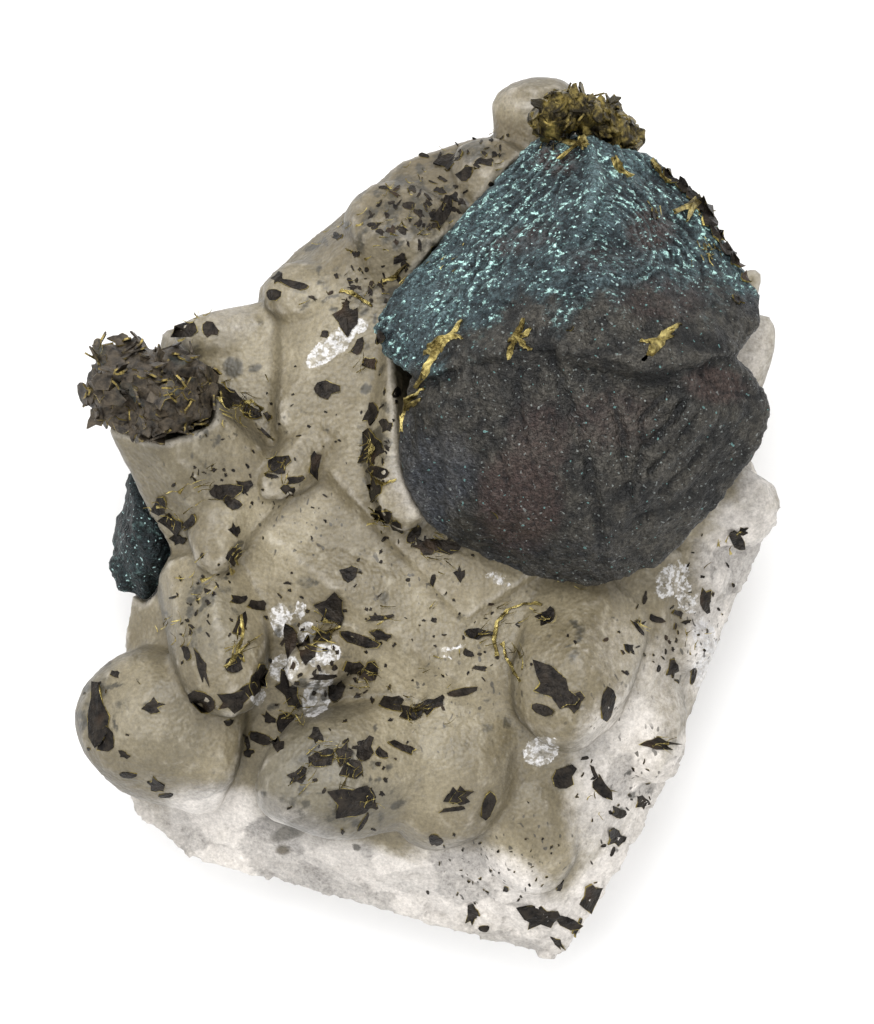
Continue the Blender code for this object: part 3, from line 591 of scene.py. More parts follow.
# %% The skin of the large crystal
bornite_skin = skin_of("bornite_crystal_large", "bornite_crystal", 0.165, 4)
points, normals = points_of(bornite_skin), normals_of(bornite_skin)
px, py = pixels_of(points)
TARNISH_LINE = [(380, 392), (430, 352), (500, 312), (600, 300), (700, 292), (760, 285)]
ledge = np.interp(px, [x for x, _ in TARNISH_LINE], [y for _, y in TARNISH_LINE])
upper = smooth_step(ledge - py, -14, 22)


def distance_to(px, py, start, end):
    """How far, in pixels, points lie to the right of the line from start to end."""
    (x0, y0), (x1, y1) = start, end
    return ((px - x0) * (y1 - y0) - (py - y0) * (x1 - x0)) / -math.hypot(x1 - x0, y1 - y0)


from_left = distance_to(px, py, (575, 112), (380, 330))
from_right = distance_to(px, py, (755, 300), (600, 112))
from_foot = np.interp(px, [380, 760], [372, 322]) - py
from_left, from_right = np.abs(from_left), np.abs(from_right)
SOFT = 14  # pixels over which the nearest edge gives way to the next
nearest = -SOFT * np.log(np.exp(-from_left / SOFT) + np.exp(-from_right * 1.25 / SOFT)
                         + np.exp(-from_foot * 0.8 / SOFT))
swirl = heights(points, 0.22, 2, 2) * 17 + heights(points, 0.7, 2, 7) * 6
WIDE_RIDGE, FINE_RIDGE = 11.5, 5.2  # pixels from one growth ridge to the next
waves = np.sin((nearest + swirl) * 2 * math.pi / WIDE_RIDGE)
patchy = np.clip(0.55 + 0.6 * heights(points, 0.45, 2, 11), 0.1, 1)
inside = 1 - smooth_step(nearest, 40, 75) * 0.75
fine_waves = np.sin((nearest + swirl) * 2 * math.pi / FINE_RIDGE)
ridges = upper * patchy * inside * (waves + 0.35 * fine_waves)
wrinkle_place = np.stack([points[:, 0] * 1.6, points[:, 1] * 0.7, points[:, 2]], axis=1)
wrinkles = (1 - upper) * heights(wrinkle_place, 0.55, 4, 4)
lumps = heights(points, 1.5, 3, 8) + upper * 0.9 * facets(points, 0.8, 12)
CREASES = [  # lines through pixels, width in pixels and depth in millimetres
    ([(548, 350), (570, 400), (586, 450), (596, 510), (600, 565)], 7, 0.13),
    ([(518, 372), (516, 400), (524, 440)], 5, 0.08),
    ([(475, 395), (492, 430), (505, 480)], 6, 0.06),
    ([(640, 420), (655, 404), (668, 392)], 4, 0.12),
    ([(648, 446), (668, 424), (684, 402)], 4, 0.14),
    ([(652, 470), (676, 446), (696, 418)], 4, 0.14),
    ([(662, 492), (690, 466), (712, 432)], 4, 0.12),
    ([(628, 492), (640, 462), (644, 440)], 5, 0.12),
    ([(640, 520), (664, 510), (690, 492)], 5, 0.10),
    ([(610, 395), (622, 430), (626, 470)], 5, 0.08),
    ([(700, 372), (724, 392), (752, 398)], 5, 0.14),
    ([(470, 556), (500, 540), (560, 530)], 9, 0.06),
    ([(582, 130), (598, 175), (590, 215)], 7, -0.16),
    ([(560, 262), (590, 232), (602, 190)], 5, 0.12),
]
boss = (along(px, py, [(648, 368), (674, 366)], 18) * 0.42
        - along(px, py, [(512, 350), (552, 352)], 8) * 0.55)
for line, wide, deep in CREASES:
    boss -= along(px, py, line, wide) * deep * 1.8
    boss += along(px, py, [(x + wide * 1.6, y + wide) for x, y in line], wide) * deep
grow = 0.03 + 0.13 * ridges + 0.17 * wrinkles + 0.08 * lumps + boss * (normals[:, 2] > 0.2)
keep_points(bornite_skin, points + normals * (grow * MM)[:, None])
store(bornite_skin, "ridge", ridges * 0.5 + 0.5)
store(bornite_skin, "upper", smooth_step(ledge - py + 26 * heights(points, 0.45, 3, 21), -46, 40))
PURPLE = [  # brown and purple tarnish
    (520, 500, 50, 60, 0, 0.9), (540, 440, 40, 50, 0, 0.6), (610, 420, 60, 40, 0, 0.5),
    (715, 385, 36, 22, -10, 0.9), (650, 230, 30, 26, 0, 0.8), (555, 160, 30, 18, 0, 0.7),
    (520, 240, 50, 18, 15, 0.5), (600, 260, 60, 20, 0, 0.4), (660, 300, 60, 30, 0, 0.5),
    (470, 440, 40, 60, 0, 0.2), (445, 290, 20, 14, 0, 0.4),
]
BLUE = [  # the palest blue
    (630, 150, 34, 40, -40, 1), (598, 175, 16, 50, -10, 0.8), (480, 210, 60, 26, 50, 0.5),
    (440, 290, 60, 40, 40, 0.7), (740, 270, 20, 60, 20, 0.6), (420, 510, 60, 18, -50, 0.8),
    (500, 570, 60, 14, -20, 0.7), (405, 440, 12, 60, 0, 0.6), (435, 480, 46, 60, -20, 0.8),
    (560, 560, 90, 30, 0, 0.4),
]
store(bornite_skin, "hollow", hollows(bornite_skin, 2))
px, py = pixels_of(points)
store(bornite_skin, "purple", spots(px, py, PURPLE))
store(bornite_skin, "blue", spots(px, py, BLUE))
# Painted shade: the rows darken notches, the space under the ledge and other shaded folds.
GLOOM = [  # notches and the shade under the ledge
    (536, 350, 24, 8, 10, 1.1), (655, 374, 26, 15, 0, 1.0), (700, 342, 34, 12, -12, 0.9),
    (600, 352, 40, 6, 5, 0.7), (478, 350, 24, 6, 0, 0.5), (556, 420, 5, 40, -12, 0.6),
    (680, 440, 30, 40, 30, 0.45), (505, 500, 40, 50, 0, 0.3), (420, 372, 16, 10, -20, 0.6),
    (560, 560, 90, 22, 0, 0.35), (610, 250, 50, 14, 20, 0.5), (545, 225, 20, 6, -30, 0.6),
    (640, 225, 16, 8, 0, 0.6), (400, 310, 8, 16, 30, 0.5), (720, 300, 10, 30, -20, 0.6),
    (500, 290, 60, 8, -10, 0.4),
]
store(bornite_skin, "gloom", spots(px, py, GLOOM))
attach(bornite_skin, "root")
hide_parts("bornite_crystal_large")
print("the bornite skin has", len(points), "points")


# %% [markdown]
# Bornite tarnishes in thin films of slate blue, teal and purple over bronze. The film isn't
# clear paint, so the base colour carries it. Tiny glints of the metal are painted into it as
# pale specks, and painted shade darkens its hollows, its notches and the space under the ledge.
# Pale turquoise lies along the crests of the ridges, broken into dashes and dots.

# %% The finish of the bornite
def tarnish(name, turquoise, marked, shade=1.0):
    """Bornite with a share of turquoise dashes. A marked one reads what is stored on its points."""
    skin = Finish(name, "bornite", Metallic=0.45, Specular_IOR_Level=0.35)
    ragged = (skin.noise(1.5, 3, 0.75) - 0.5) * 0.9

    def dark(red, green, blue):
        return red * shade, green * shade, blue * shade

    def area(name, rough, low, high, otherwise):
        """A marked area with a ragged edge, or plain noise where nothing is marked."""
        return (skin.mark(name) + ragged * rough).step(low, high) if marked else otherwise()

    upper = area("upper", 0.9, 0.2, 0.8, lambda: skin.noise(0.5).step(-1, 0))
    slate = skin.mix(skin.noise(0.6, 2, 0.7).step(0.36, 0.64),
                     dark(0.008, 0.013, 0.016), dark(0.030, 0.045, 0.050))
    lower = skin.mix(skin.noise(0.45, 2, 0.75).step(0.36, 0.64),
                     (0.017, 0.017, 0.016), (0.052, 0.048, 0.040))
    body = skin.mix(upper, lower, slate)
    purple = area("purple", 0.9, 0.15, 0.85, lambda: skin.noise(0.3).step(0.6, 0.8))
    body = skin.mix(purple * 0.7, body, dark(0.056, 0.036, 0.031))
    blue = area("blue", 0.8, 0.15, 0.9, lambda: skin.noise(0.25, 3).step(0.4, 0.6))
    pale_blue = skin.mix(upper, (0.068, 0.076, 0.092), dark(0.075, 0.115, 0.125))
    body = skin.mix(blue * 0.45, body, pale_blue)
    hollow = skin.mark("hollow")
    # Painted shade in the hollows of the skin.
    body = skin.mix(hollow.step(0.0, 0.8) * 0.65, body, dark(0.008, 0.009, 0.010))
    # Lighter on the crests of the skin.
    lighter_crest = skin.mix(upper, (0.085, 0.080, 0.070), dark(0.12, 0.17, 0.175))
    body = skin.mix((hollow * -1).step(0.1, 0.9) * 0.35, body, lighter_crest)
    dashes = skin.noise(2.5, 3, 0.72, place=skin.stretched(0.8, 1.25, 1, 20))
    crest = skin.mark("ridge").step(0.45, 0.95) if marked else skin.noise(0.6).step(0.4, 0.8)
    where = skin.noise(0.45, 2, 0.6).step(0.35, 0.62)
    body = skin.mix(crest * upper * 0.28, body, dark(0.065, 0.10, 0.105))
    drift = dashes + crest * 0.09 + where * 0.12
    body = skin.mix(drift.step(0.60, 0.70) * upper * 0.55, body, dark(0.062, 0.115, 0.118))
    film = drift.step(0.69, 0.745) * upper
    turquoises = skin.mix(skin.noise(4.0), (0.13, 0.31, 0.29), (0.60, 0.82, 0.76))
    body = skin.mix(film * turquoise, body, turquoises)
    grain = skin.noise(9.0, 1, 0.75)
    sand = skin.noise(4.6, 2, 0.8)
    speckle = 0.25 + grain * 0.6 + sand.step(0.38, 0.64) * (0.8 + upper * 0.5)
    body = skin.mix(1.0, body, speckle, "MULTIPLY")
    # Painted glints: pale specks in the base colour stand in for the sparkle of the metal.
    glint = skin.noise(5.2, 0, place=skin.stretched(1, 1, 1, 33)).step(0.74, 0.80)
    bright = skin.mix(upper, (0.22, 0.24, 0.23), (0.34, 0.50, 0.49))
    body = skin.mix(glint * (0.60 + upper * 0.30), body, bright)
    if marked:
        # Painted shade where the gloom mark is stored.
        gloom = (skin.mark("gloom") + ragged * 0.7).step(0.2, 1.0)
        body = skin.mix(gloom * 0.8, body, (0.006, 0.0065, 0.007))
        # Painted glints: small pale blue specks of sparkle on the lower lobe.
        dot = skin.noise(3.4, 0, place=skin.stretched(1, 1, 1, 70)).step(0.80, 0.83) * (1 - upper)
        body = skin.mix(dot * 0.6, body, (0.17, 0.34, 0.33))
    tilt = skin.bump(skin.noise(2.6, 2, 0.8), 0.28, 1.0)
    skin.set(Base_Color=body, Normal=tilt, Roughness=0.40 + grain * 0.30 - glint * 0.15)
    return skin


bornite = tarnish("tarnished_bornite", 0.85, True)
dress(bornite_skin, bornite)
print("bornite finish has", len(bornite.tree.nodes), "nodes")

# %% [markdown]
# ## The small bornite crystal
# It looks out from under the left quartz crystal. Its skin is made the same way, with ridges
# that run down its length, and its tarnish is a darker, plainer blue.

# %% The skin of the small crystal
small_skin = skin_of("bornite_crystal_small", "bornite_crystal_small_skin", 0.13, 4)
points, normals = points_of(small_skin), normals_of(small_skin)
FOLD, RUNG = 1.5 * MM, 0.8 * MM  # from one ridge to the next, down and across the crystal
lengthwise = points[:, 0] * 0.93 + points[:, 1] * 0.37
bend = heights(points, 0.4, 2, 3) * 0.5 * MM
folds = np.sin((lengthwise + bend) * 2 * math.pi / FOLD)
rungs = np.sin((points[:, 1] + bend * 2) * 2 * math.pi / RUNG)
grow = 0.02 + 0.10 * folds + 0.03 * rungs + 0.05 * heights(points, 1.2, 3, 6)
keep_points(small_skin, points + normals * (grow * MM)[:, None])
small_bornite = tarnish("blue_bornite", 0.08, False, 0.25)
dress(small_skin, small_bornite)
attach(small_skin, "root")
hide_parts("bornite_crystal_small")
print("the small crystal has", len(points), "points")

# %% [markdown]
# ## Sulfide flakes
# Dark ragged flakes with brassy rims lie in and on the quartz. Each could be cut by hand, but
# there are hundreds, so ten shapes are modelled from a disc: its corners are thrown about at
# random, an inset gives the rim, and a poked middle lets it bend. Each flake on the specimen is
# a copy, stretched, turned, and laid on the skin point by point, so that it follows the stone.

# %% Ten flake shapes
random.seed(31)
THIN = 0.12 * MM  # a flake, a leaf or a blade
CORNER_PULLS = [0.62, 0.8, 0.95, 1.0, 1.28]


def flake_shape(number, corners):
    """One ragged disc, 2 mm wide, with a marked rim."""
    clear_selection()
    bpy.ops.mesh.primitive_circle_add(vertices=corners, radius=1 * MM, fill_type="NGON")
    shape = bpy.context.object
    shape.name = f"flake_shape_{number}"
    bpy.ops.object.mode_set(mode="EDIT")
    bpy.ops.mesh.select_mode(type="VERT")
    for corner in range(corners):
        bpy.ops.mesh.select_all(action="DESELECT")
        bpy.ops.object.mode_set(mode="OBJECT")
        shape.data.vertices[corner].select = True
        bpy.ops.object.mode_set(mode="EDIT")
        pull = random.choice(CORNER_PULLS) * random.uniform(0.85, 1.1)
        bpy.ops.transform.resize(value=(pull, pull, 1), center_override=(0, 0, 0))
    bpy.ops.mesh.select_mode(type="FACE")
    bpy.ops.mesh.select_all(action="SELECT")
    bpy.ops.mesh.inset(thickness=0.11 * MM)
    bpy.ops.mesh.poke()
    bpy.ops.object.mode_set(mode="OBJECT")
    rim = [1.0 if index < corners else 0.0 for index in range(len(shape.data.vertices))]
    store(shape, "rim", rim)
    apply_modifier(shape, "SOLIDIFY", thickness=THIN, offset=-1)
    return shape


shapes = [flake_shape(number, 9 + number % 4) for number in range(10)]
print("flake shapes have", [len(shape.data.polygons) for shape in shapes], "faces")


# %% Laying a copy on a skin
def tree_of(piece):
    graph = bpy.context.evaluated_depsgraph_get()
    bpy.context.view_layer.update()
    return BVHTree.FromObject(piece, graph)


quartz_tree = tree_of(quartz_skin)
bornite_tree = tree_of(bornite_skin)
UP, DOWN = Vector((0, 0, 1)), Vector((0, 0, -1))
HIGH = 6 * MM      # how far over the middle of a copy its points look down at the skin
FALLEN = 1.6 * MM  # a point that hits this far off stays level with the middle


def lay(shape, tree, px, py, long, wide, turn, lift=0.06, curl=0.0):
    """A copy of a shape laid on a skin at a pixel, sizes in pixels. None if it misses."""
    start, aim = sight(px, py)
    place, _, _, _ = tree.ray_cast(start, aim)
    if place is None:
        return None
    copy = shape.data.copy()
    angle = math.radians(turn)
    for vertex in copy.vertices:
        x, y, z = vertex.co
        x, y = x / MM * long / 2 * PIXEL, y / MM * wide / 2 * PIXEL
        across = Vector((x * math.cos(angle) - y * math.sin(angle),
                         x * math.sin(angle) + y * math.cos(angle), 0))
        hit, normal, _, _ = tree.ray_cast(place + across + UP * HIGH, DOWN)
        if hit is None or abs(hit.z - place.z) > FALLEN:
            hit, normal = place + across, UP
        rise = lift * MM + z + curl * MM * (x / (long * PIXEL)) ** 2 * 4
        vertex.co = hit + normal * rise
    copy.update()
    return copy


def fused(name, parts, finish, *replaced):
    """One piece from many objects."""
    clear_selection()
    for part in parts:
        part.select_set(True)
    bpy.context.view_layer.objects.active = parts[0]
    bpy.ops.object.join()
    piece = bpy.context.object
    piece.name = name
    keep_points(piece, points_of(piece))
    dress(piece, finish)
    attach(piece, "root")
    if replaced:
        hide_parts(*replaced)
    return piece


def joined(name, meshes, finish, *replaced):
    """One piece from many meshes."""
    parts = []
    for number, mesh in enumerate(meshes):
        part = bpy.data.objects.new(f"{name}_{number}", mesh)
        bpy.context.scene.collection.objects.link(part)
        parts.append(part)
    return fused(name, parts, finish, *replaced)


print("flakes can be laid on the skins")

# %% [markdown]
# The table gives each flake's place, length, width and turn in the photograph. Most are dark
# with a bright rim. The finish reads the rim mark, and noise leaves the rim bright in places only.

# %% The finish of the flakes and of the brass
flake = Finish("dark_sulfide", "sulfide", Specular_IOR_Level=0.2)
worn = flake.noise(1.8, 4, 0.65)
rim = (flake.mark("rim") + (flake.noise(0.9, 3) - 0.5) * 1.8).step(0.85, 1.1)
dark = flake.mix(worn.step(0.3, 0.7), (0.005, 0.004, 0.0035), (0.030, 0.024, 0.018))
dark = flake.mix(flake.noise(0.35, 2).step(0.58, 0.72) * 0.6, dark, (0.055, 0.034, 0.020))
brass_tint = flake.mix(flake.noise(2.5, 3), (0.12, 0.088, 0.020), (0.50, 0.41, 0.14))
flake.set(Base_Color=flake.mix(rim, dark, brass_tint), Metallic=0.35 + rim * 0.5,
          Roughness=0.50 - rim * 0.12 + (worn - 0.5) * 0.3,
          Normal=flake.bump(flake.noise(2.4, 2, 0.7), 0.16, 0.9))

crust = Finish("sulfide_crust_plates", "sulfide", Specular_IOR_Level=0.35)
scaly = crust.noise(1.5, 4, 0.7)
crust_rim = (crust.mark("rim") + (crust.noise(0.9, 3) - 0.5) * 1.8).step(0.95, 1.2)
crust_tint = crust.mix(scaly.step(0.32, 0.68), (0.013, 0.010, 0.007), (0.088, 0.069, 0.047))
teal = crust.noise(0.45, 3).step(0.55, 0.70)
crust_tint = crust.mix(teal * 0.5, crust_tint, (0.045, 0.062, 0.060))
crust.set(Base_Color=crust.mix(crust_rim, crust_tint, (0.26, 0.20, 0.065)),
          Metallic=0.20 + crust_rim * 0.6, Roughness=0.48 - crust_rim * 0.1,
          Normal=crust.bump(crust.noise(3.5, 4, 0.65), 0.10, 0.8))

brass = Finish("chalcopyrite_brass", "chalcopyrite")
patina = brass.noise(1.1, 4, 0.65, 0.5)
tone = brass.mix(patina.step(0.38, 0.68), (0.085, 0.062, 0.016), (0.56, 0.46, 0.17))
tone = brass.mix(brass.noise(0.5, 3).step(0.55, 0.75) * 0.7, tone, (0.035, 0.026, 0.012))
brass.set(Base_Color=tone, Metallic=0.85, Roughness=0.34 + (patina - 0.5) * 0.3,
          Normal=brass.bump(brass.noise(3.5, 5, 0.65), 0.12, 0.8))

aged = Finish("aged_chalcopyrite", "chalcopyrite")
patina = aged.noise(1.3, 4, 0.7, 0.5)
old_brass = aged.mix(patina.step(0.40, 0.72), (0.022, 0.017, 0.008), (0.30, 0.23, 0.065))
aged.set(Base_Color=old_brass, Metallic=0.75, Roughness=0.42 + (patina - 0.5) * 0.3,
         Normal=aged.bump(aged.noise(3.0, 4, 0.7), 0.14, 0.9))

# %% The flakes of the quartz
FLAKES = [  # px, py, length, width, turn, curl
    (348, 575, 22, 20, 20, 0.1), (434, 620, 7, 6, 0, 0), (380, 618, 27, 6, 8, 0.2),
    (382, 636, 22, 10, -5, 0.1), (357, 638, 48, 13, -14, 0.2), (332, 612, 30, 27, 30, 0.3),
    (290, 640, 36, 12, 95, 0.2), (307, 652, 26, 18, 60, 0.2), (323, 637, 22, 13, 10, 0.2),
    (337, 686, 36, 15, 85, 0.2), (370, 673, 28, 22, 60, 0.3), (353, 667, 24, 15, 0, 0.2),
    (323, 677, 26, 6, 5, 0), (260, 677, 30, 16, 80, 0.2), (245, 690, 22, 14, 40, 0.1),
    (232, 702, 30, 18, 10, 0.2), (205, 702, 24, 17, -40, 0.2), (201, 665, 38, 8, -75, 0.1),
    (187, 653, 20, 8, -70, 0.1), (235, 664, 22, 16, 60, 0.2), (240, 627, 28, 15, 70, 0.2),
    (257, 605, 22, 12, 0, 0.1), (238, 600, 16, 9, 10, 0.1), (290, 692, 42, 17, -60, 0.3),
    (290, 722, 34, 26, -30, 0.3), (268, 718, 16, 8, -40, 0), (262, 738, 24, 10, -20, 0.1),
    (278, 745, 14, 13, 60, 0), (247, 742, 20, 6, -75, 0), (249, 753, 12, 8, 20, 0),
    (228, 723, 12, 9, 20, 0), (392, 703, 28, 18, 0, 0.1), (411, 714, 24, 15, 10, 0.2),
    (432, 705, 34, 13, 32, 0.1), (460, 691, 34, 9, 12, 0.1), (317, 737, 14, 12, 60, 0.1),
    (324, 757, 24, 15, 20, 0.2), (343, 756, 22, 16, 50, 0.2), (352, 769, 28, 22, 0, 0.2),
    (366, 750, 26, 15, 70, 0.2), (380, 753, 18, 12, -40, 0.1), (402, 747, 34, 9, -20, 0.2),
    (352, 802, 40, 34, 30, 0.3), (370, 800, 22, 12, -60, 0.2), (362, 823, 24, 5, 60, 0),
    (298, 777, 22, 12, 30, 0.2), (437, 840, 14, 8, -30, 0), (453, 797, 20, 14, 0, 0.1),
    (185, 330, 34, 17, 10, 0.2), (210, 330, 18, 14, -20, 0.1), (160, 507, 26, 18, 60, 0.2),
    (173, 523, 30, 17, -30, 0.3), (191, 522, 18, 10, 60, 0.2), (180, 540, 16, 9, 0, 0.1),
    (223, 490, 36, 17, 10, 0.3), (243, 487, 18, 11, 0, 0.1), (233, 503, 18, 10, -30, 0.2),
    (235, 531, 13, 10, 80, 0), (233, 555, 22, 14, 60, 0.2), (280, 465, 24, 17, 30, 0.2),
    (270, 476, 18, 6, -10, 0.1), (314, 464, 30, 12, 85, 0.3), (295, 480, 18, 8, 20, 0.1),
    (289, 491, 14, 12, 10, 0), (273, 293, 17, 13, 0, 0), (278, 279, 13, 9, 40, 0),
    (297, 285, 26, 7, -14, 0.1), (347, 320, 34, 22, 70, 0.2), (325, 334, 11, 9, 0, 0),
    (327, 390, 27, 17, 5, 0.2), (358, 348, 24, 14, 60, 0.1), (370, 363, 18, 14, 0, 0.1),
    (372, 414, 22, 14, 80, 0.1), (387, 426, 13, 12, 0, 0), (395, 393, 13, 8, 70, 0),
    (372, 450, 38, 20, 80, 0.2), (381, 472, 18, 10, -20, 0.1), (375, 490, 20, 14, 60, 0.2),
    (383, 515, 26, 16, -20, 0.3), (397, 527, 16, 9, -50, 0.1), (465, 175, 22, 17, 40, 0.1),
    (487, 162, 16, 9, 0, 0.1), (443, 213, 32, 15, 70, 0.2), (452, 160, 30, 14, 30, 0.1),
    (412, 535, 24, 12, 60, 0.2), (425, 548, 30, 12, -15, 0.2), (445, 546, 34, 12, -10, 0.3),
    (460, 575, 15, 10, 70, 0), (433, 580, 16, 6, 80, 0), (478, 634, 30, 10, 0, 0.2),
    (467, 653, 15, 9, -30, 0.1), (480, 668, 18, 6, -5, 0), (547, 617, 20, 14, 50, 0.1),
    (557, 690, 54, 26, -38, 0.4), (542, 708, 26, 12, -15, 0.2), (572, 703, 24, 17, 10, 0.1),
    (607, 701, 30, 12, 80, 0.1), (628, 648, 12, 8, -60, 0), (638, 628, 24, 4, -50, 0),
    (645, 598, 14, 4, 80, 0), (655, 619, 20, 9, -20, 0.1), (677, 613, 13, 7, -10, 0.1),
    (705, 600, 24, 12, -80, 0.1), (687, 622, 10, 4, 20, 0), (658, 669, 8, 4, 80, 0),
    (673, 669, 20, 10, 75, 0.1), (693, 674, 17, 5, 80, 0), (657, 744, 36, 11, -10, 0.2),
    (585, 758, 10, 4, 10, 0), (565, 777, 28, 20, 50, 0.2), (600, 787, 32, 18, -55, 0.2),
    (594, 772, 18, 5, -65, 0), (618, 813, 14, 12, 0, 0.1), (616, 838, 20, 15, -20, 0.2),
    (612, 852, 12, 4, 70, 0), (643, 803, 14, 12, 80, 0), (488, 803, 26, 11, 72, 0.1),
    (460, 797, 22, 16, 0, 0.1), (453, 809, 32, 5, 8, 0.1), (435, 840, 13, 11, -30, 0),
    (560, 885, 20, 7, 75, 0.1), (590, 897, 34, 21, 75, 0.2), (577, 927, 20, 5, 70, 0.1),
    (541, 917, 38, 21, 0, 0.3), (567, 921, 28, 13, -20, 0.2), (473, 915, 22, 11, 80, 0.1),
    (485, 928, 10, 6, 0, 0), (557, 942, 18, 6, -50, 0.1), (506, 889, 7, 7, 0, 0),
    (99, 716, 64, 20, 92, 0.3), (107, 742, 32, 22, 80, 0.2), (115, 674, 11, 8, 0, 0),
    (104, 660, 26, 18, 50, 0.1), (125, 755, 13, 6, -20, 0), (127, 774, 20, 7, 0, 0),
    (155, 785, 18, 11, -40, 0.1), (167, 795, 14, 4, 5, 0), (152, 707, 21, 14, -10, 0),
    (217, 390, 22, 17, -40, 0.3), (231, 400, 26, 18, -20, 0.3), (250, 412, 28, 18, -30, 0.3),
    (268, 416, 12, 8, -40, 0.1), (266, 434, 20, 4, -35, 0), (197, 385, 24, 18, 40, 0.3),
    (177, 425, 24, 10, 100, 0.3), (160, 418, 26, 12, -20, 0.3), (738, 540, 20, 10, -55, 0.2),
    (742, 532, 12, 7, 20, 0.1), (435, 250, 12, 9, 10, 0), (405, 265, 9, 7, 0, 0),
    (395, 320, 24, 15, 40, 0.2), (400, 258, 16, 10, 30, 0.2),
]
laid = []
for number, (fx, fy, long, wide, turn, curl) in enumerate(FLAKES):
    mesh = lay(shapes[number % len(shapes)], quartz_tree, fx, fy, long * 1.05, wide * 1.1, turn,
               0.05, curl)
    if mesh:
        laid.append(mesh)
CLOUDS = [  # px, py, half sizes, how many, length: clouds of small bits
    (205, 610, 30, 45, 34, 6), (320, 660, 55, 55, 40, 7), (345, 775, 40, 42, 24, 7),
    (420, 205, 70, 42, 70, 10), (360, 280, 46, 34, 34, 8), (480, 150, 42, 18, 20, 7),
    (383, 460, 14, 70, 22, 6), (440, 545, 42, 12, 14, 6), (215, 480, 42, 25, 18, 6),
    (645, 640, 60, 50, 26, 5), (610, 800, 45, 60, 22, 5), (480, 865, 60, 45, 22, 4),
    (420, 640, 130, 100, 60, 5), (300, 450, 90, 90, 36, 4), (700, 600, 40, 60, 18, 5),
    (550, 880, 50, 50, 14, 4), (100, 715, 30, 60, 14, 5),
]
for cx, cy, wide_x, wide_y, count, size in CLOUDS:
    for number in range(count):
        x, y = cx + random.gauss(0, 0.55) * wide_x, cy + random.gauss(0, 0.55) * wide_y
        mesh = lay(shapes[number % len(shapes)], quartz_tree, x, y, size * random.uniform(0.5, 1.4),
                   size * random.uniform(0.25, 0.8), random.uniform(0, 180), 0.04)
        if mesh:
            laid.append(mesh)
flake_nodes = [name for name in nodes if name.startswith("sulfide_flake")]
flakes = joined("sulfide_flakes", laid, flake, *flake_nodes)
middles = points_of(flakes)
FAR = 1.0 * MM  # a flake further off than this doesn't stand for the solid
for name in flake_nodes:
    low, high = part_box(name)
    gap = np.min(np.linalg.norm(middles - np.array((low + high) / 2), axis=1))
    if gap > FAR:
        print("no flake near", name, round(gap / MM, 2), "mm")
print(len(laid), "flakes stand for", len(flake_nodes), "solids")

# %% [markdown]
# ## Brass needles
# Thin brassy needles cross the flakes and stand in small sprays. One needle is a flat
# four-sided spike, and its copies are bent and scattered round the places where the real ones
# gather.

# %% One needle and its copies
clear_selection()
bpy.ops.mesh.primitive_cone_add(vertices=4, radius1=0.5 * MM, radius2=0.12 * MM, depth=2 * MM,
                                rotation=(0, math.pi / 2, 0))
needle = bpy.context.object
needle.name = "needle_shape"
bpy.ops.object.transform_apply(location=False, rotation=True, scale=True)
bpy.ops.object.mode_set(mode="EDIT")
bpy.ops.mesh.select_all(action="SELECT")
bpy.ops.transform.resize(value=(1, 1, 0.10), center_override=(0, 0, 0))
bpy.ops.mesh.subdivide(number_cuts=2)
bpy.ops.object.mode_set(mode="OBJECT")
print("a needle has", len(needle.data.polygons), "faces")

NEEDLES = [  # px, py, spread, count, turn, turn spread, length
    (238, 645, 14, 12, 60, 60, 16), (325, 630, 20, 16, 30, 70, 15), (370, 672, 16, 12, -30, 50, 14),
    (295, 715, 16, 14, 20, 60, 14), (410, 712, 12, 9, 60, 60, 12), (325, 755, 16, 12, 20, 40, 14),
    (350, 770, 18, 12, 40, 70, 14), (368, 800, 10, 6, 30, 50, 10), (300, 775, 10, 6, 30, 40, 14),
    (200, 490, 20, 12, 20, 50, 14), (173, 515, 16, 8, -40, 40, 14), (233, 552, 8, 5, 80, 30, 12),
    (280, 468, 12, 8, 60, 50, 12), (374, 450, 10, 10, 85, 15, 16), (384, 515, 14, 10, -40, 40, 13),
    (440, 545, 26, 14, -12, 30, 14), (178, 625, 16, 12, 70, 50, 12), (205, 580, 22, 12, 60, 50, 11),
    (215, 400, 40, 12, -30, 60, 12), (240, 415, 24, 14, -40, 40, 14),
    (350, 245, 60, 16, 20, 40, 10), (395, 285, 30, 12, 30, 40, 10), (520, 655, 12, 5, 100, 20, 16),
    (505, 615, 22, 10, 30, 30, 14), (548, 612, 18, 8, 20, 40, 12), (485, 632, 12, 5, 10, 30, 12),
    (380, 617, 12, 4, 0, 20, 16), (455, 635, 60, 8, 0, 90, 9), (640, 625, 8, 3, -50, 10, 16),
    (720, 545, 30, 6, 60, 60, 9), (697, 640, 20, 6, 60, 60, 9), (660, 742, 14, 5, -5, 20, 12),
    (600, 800, 14, 5, 40, 60, 8), (185, 330, 18, 8, 20, 60, 11), (400, 225, 75, 34, 20, 60, 8),
    (490, 150, 30, 8, 40, 50, 8), (360, 365, 12, 6, 60, 40, 11), (430, 700, 24, 8, 25, 20, 14),
]
spikes = []
for nx, ny, spread, count, turn, swing, long in NEEDLES:
    for _ in range(count):
        x, y = nx + random.gauss(0, spread * 0.5), ny + random.gauss(0, spread * 0.5)
        mesh = lay(needle, quartz_tree, x, y, long * random.uniform(0.5, 1.2),
                   random.uniform(1.6, 3.2), turn + random.uniform(-swing, swing),
                   random.uniform(0.10, 0.28), random.uniform(0, 0.5))
        if mesh:
            spikes.append(mesh)
joined("brass_needles", spikes, brass)
print(len(spikes), "needles")

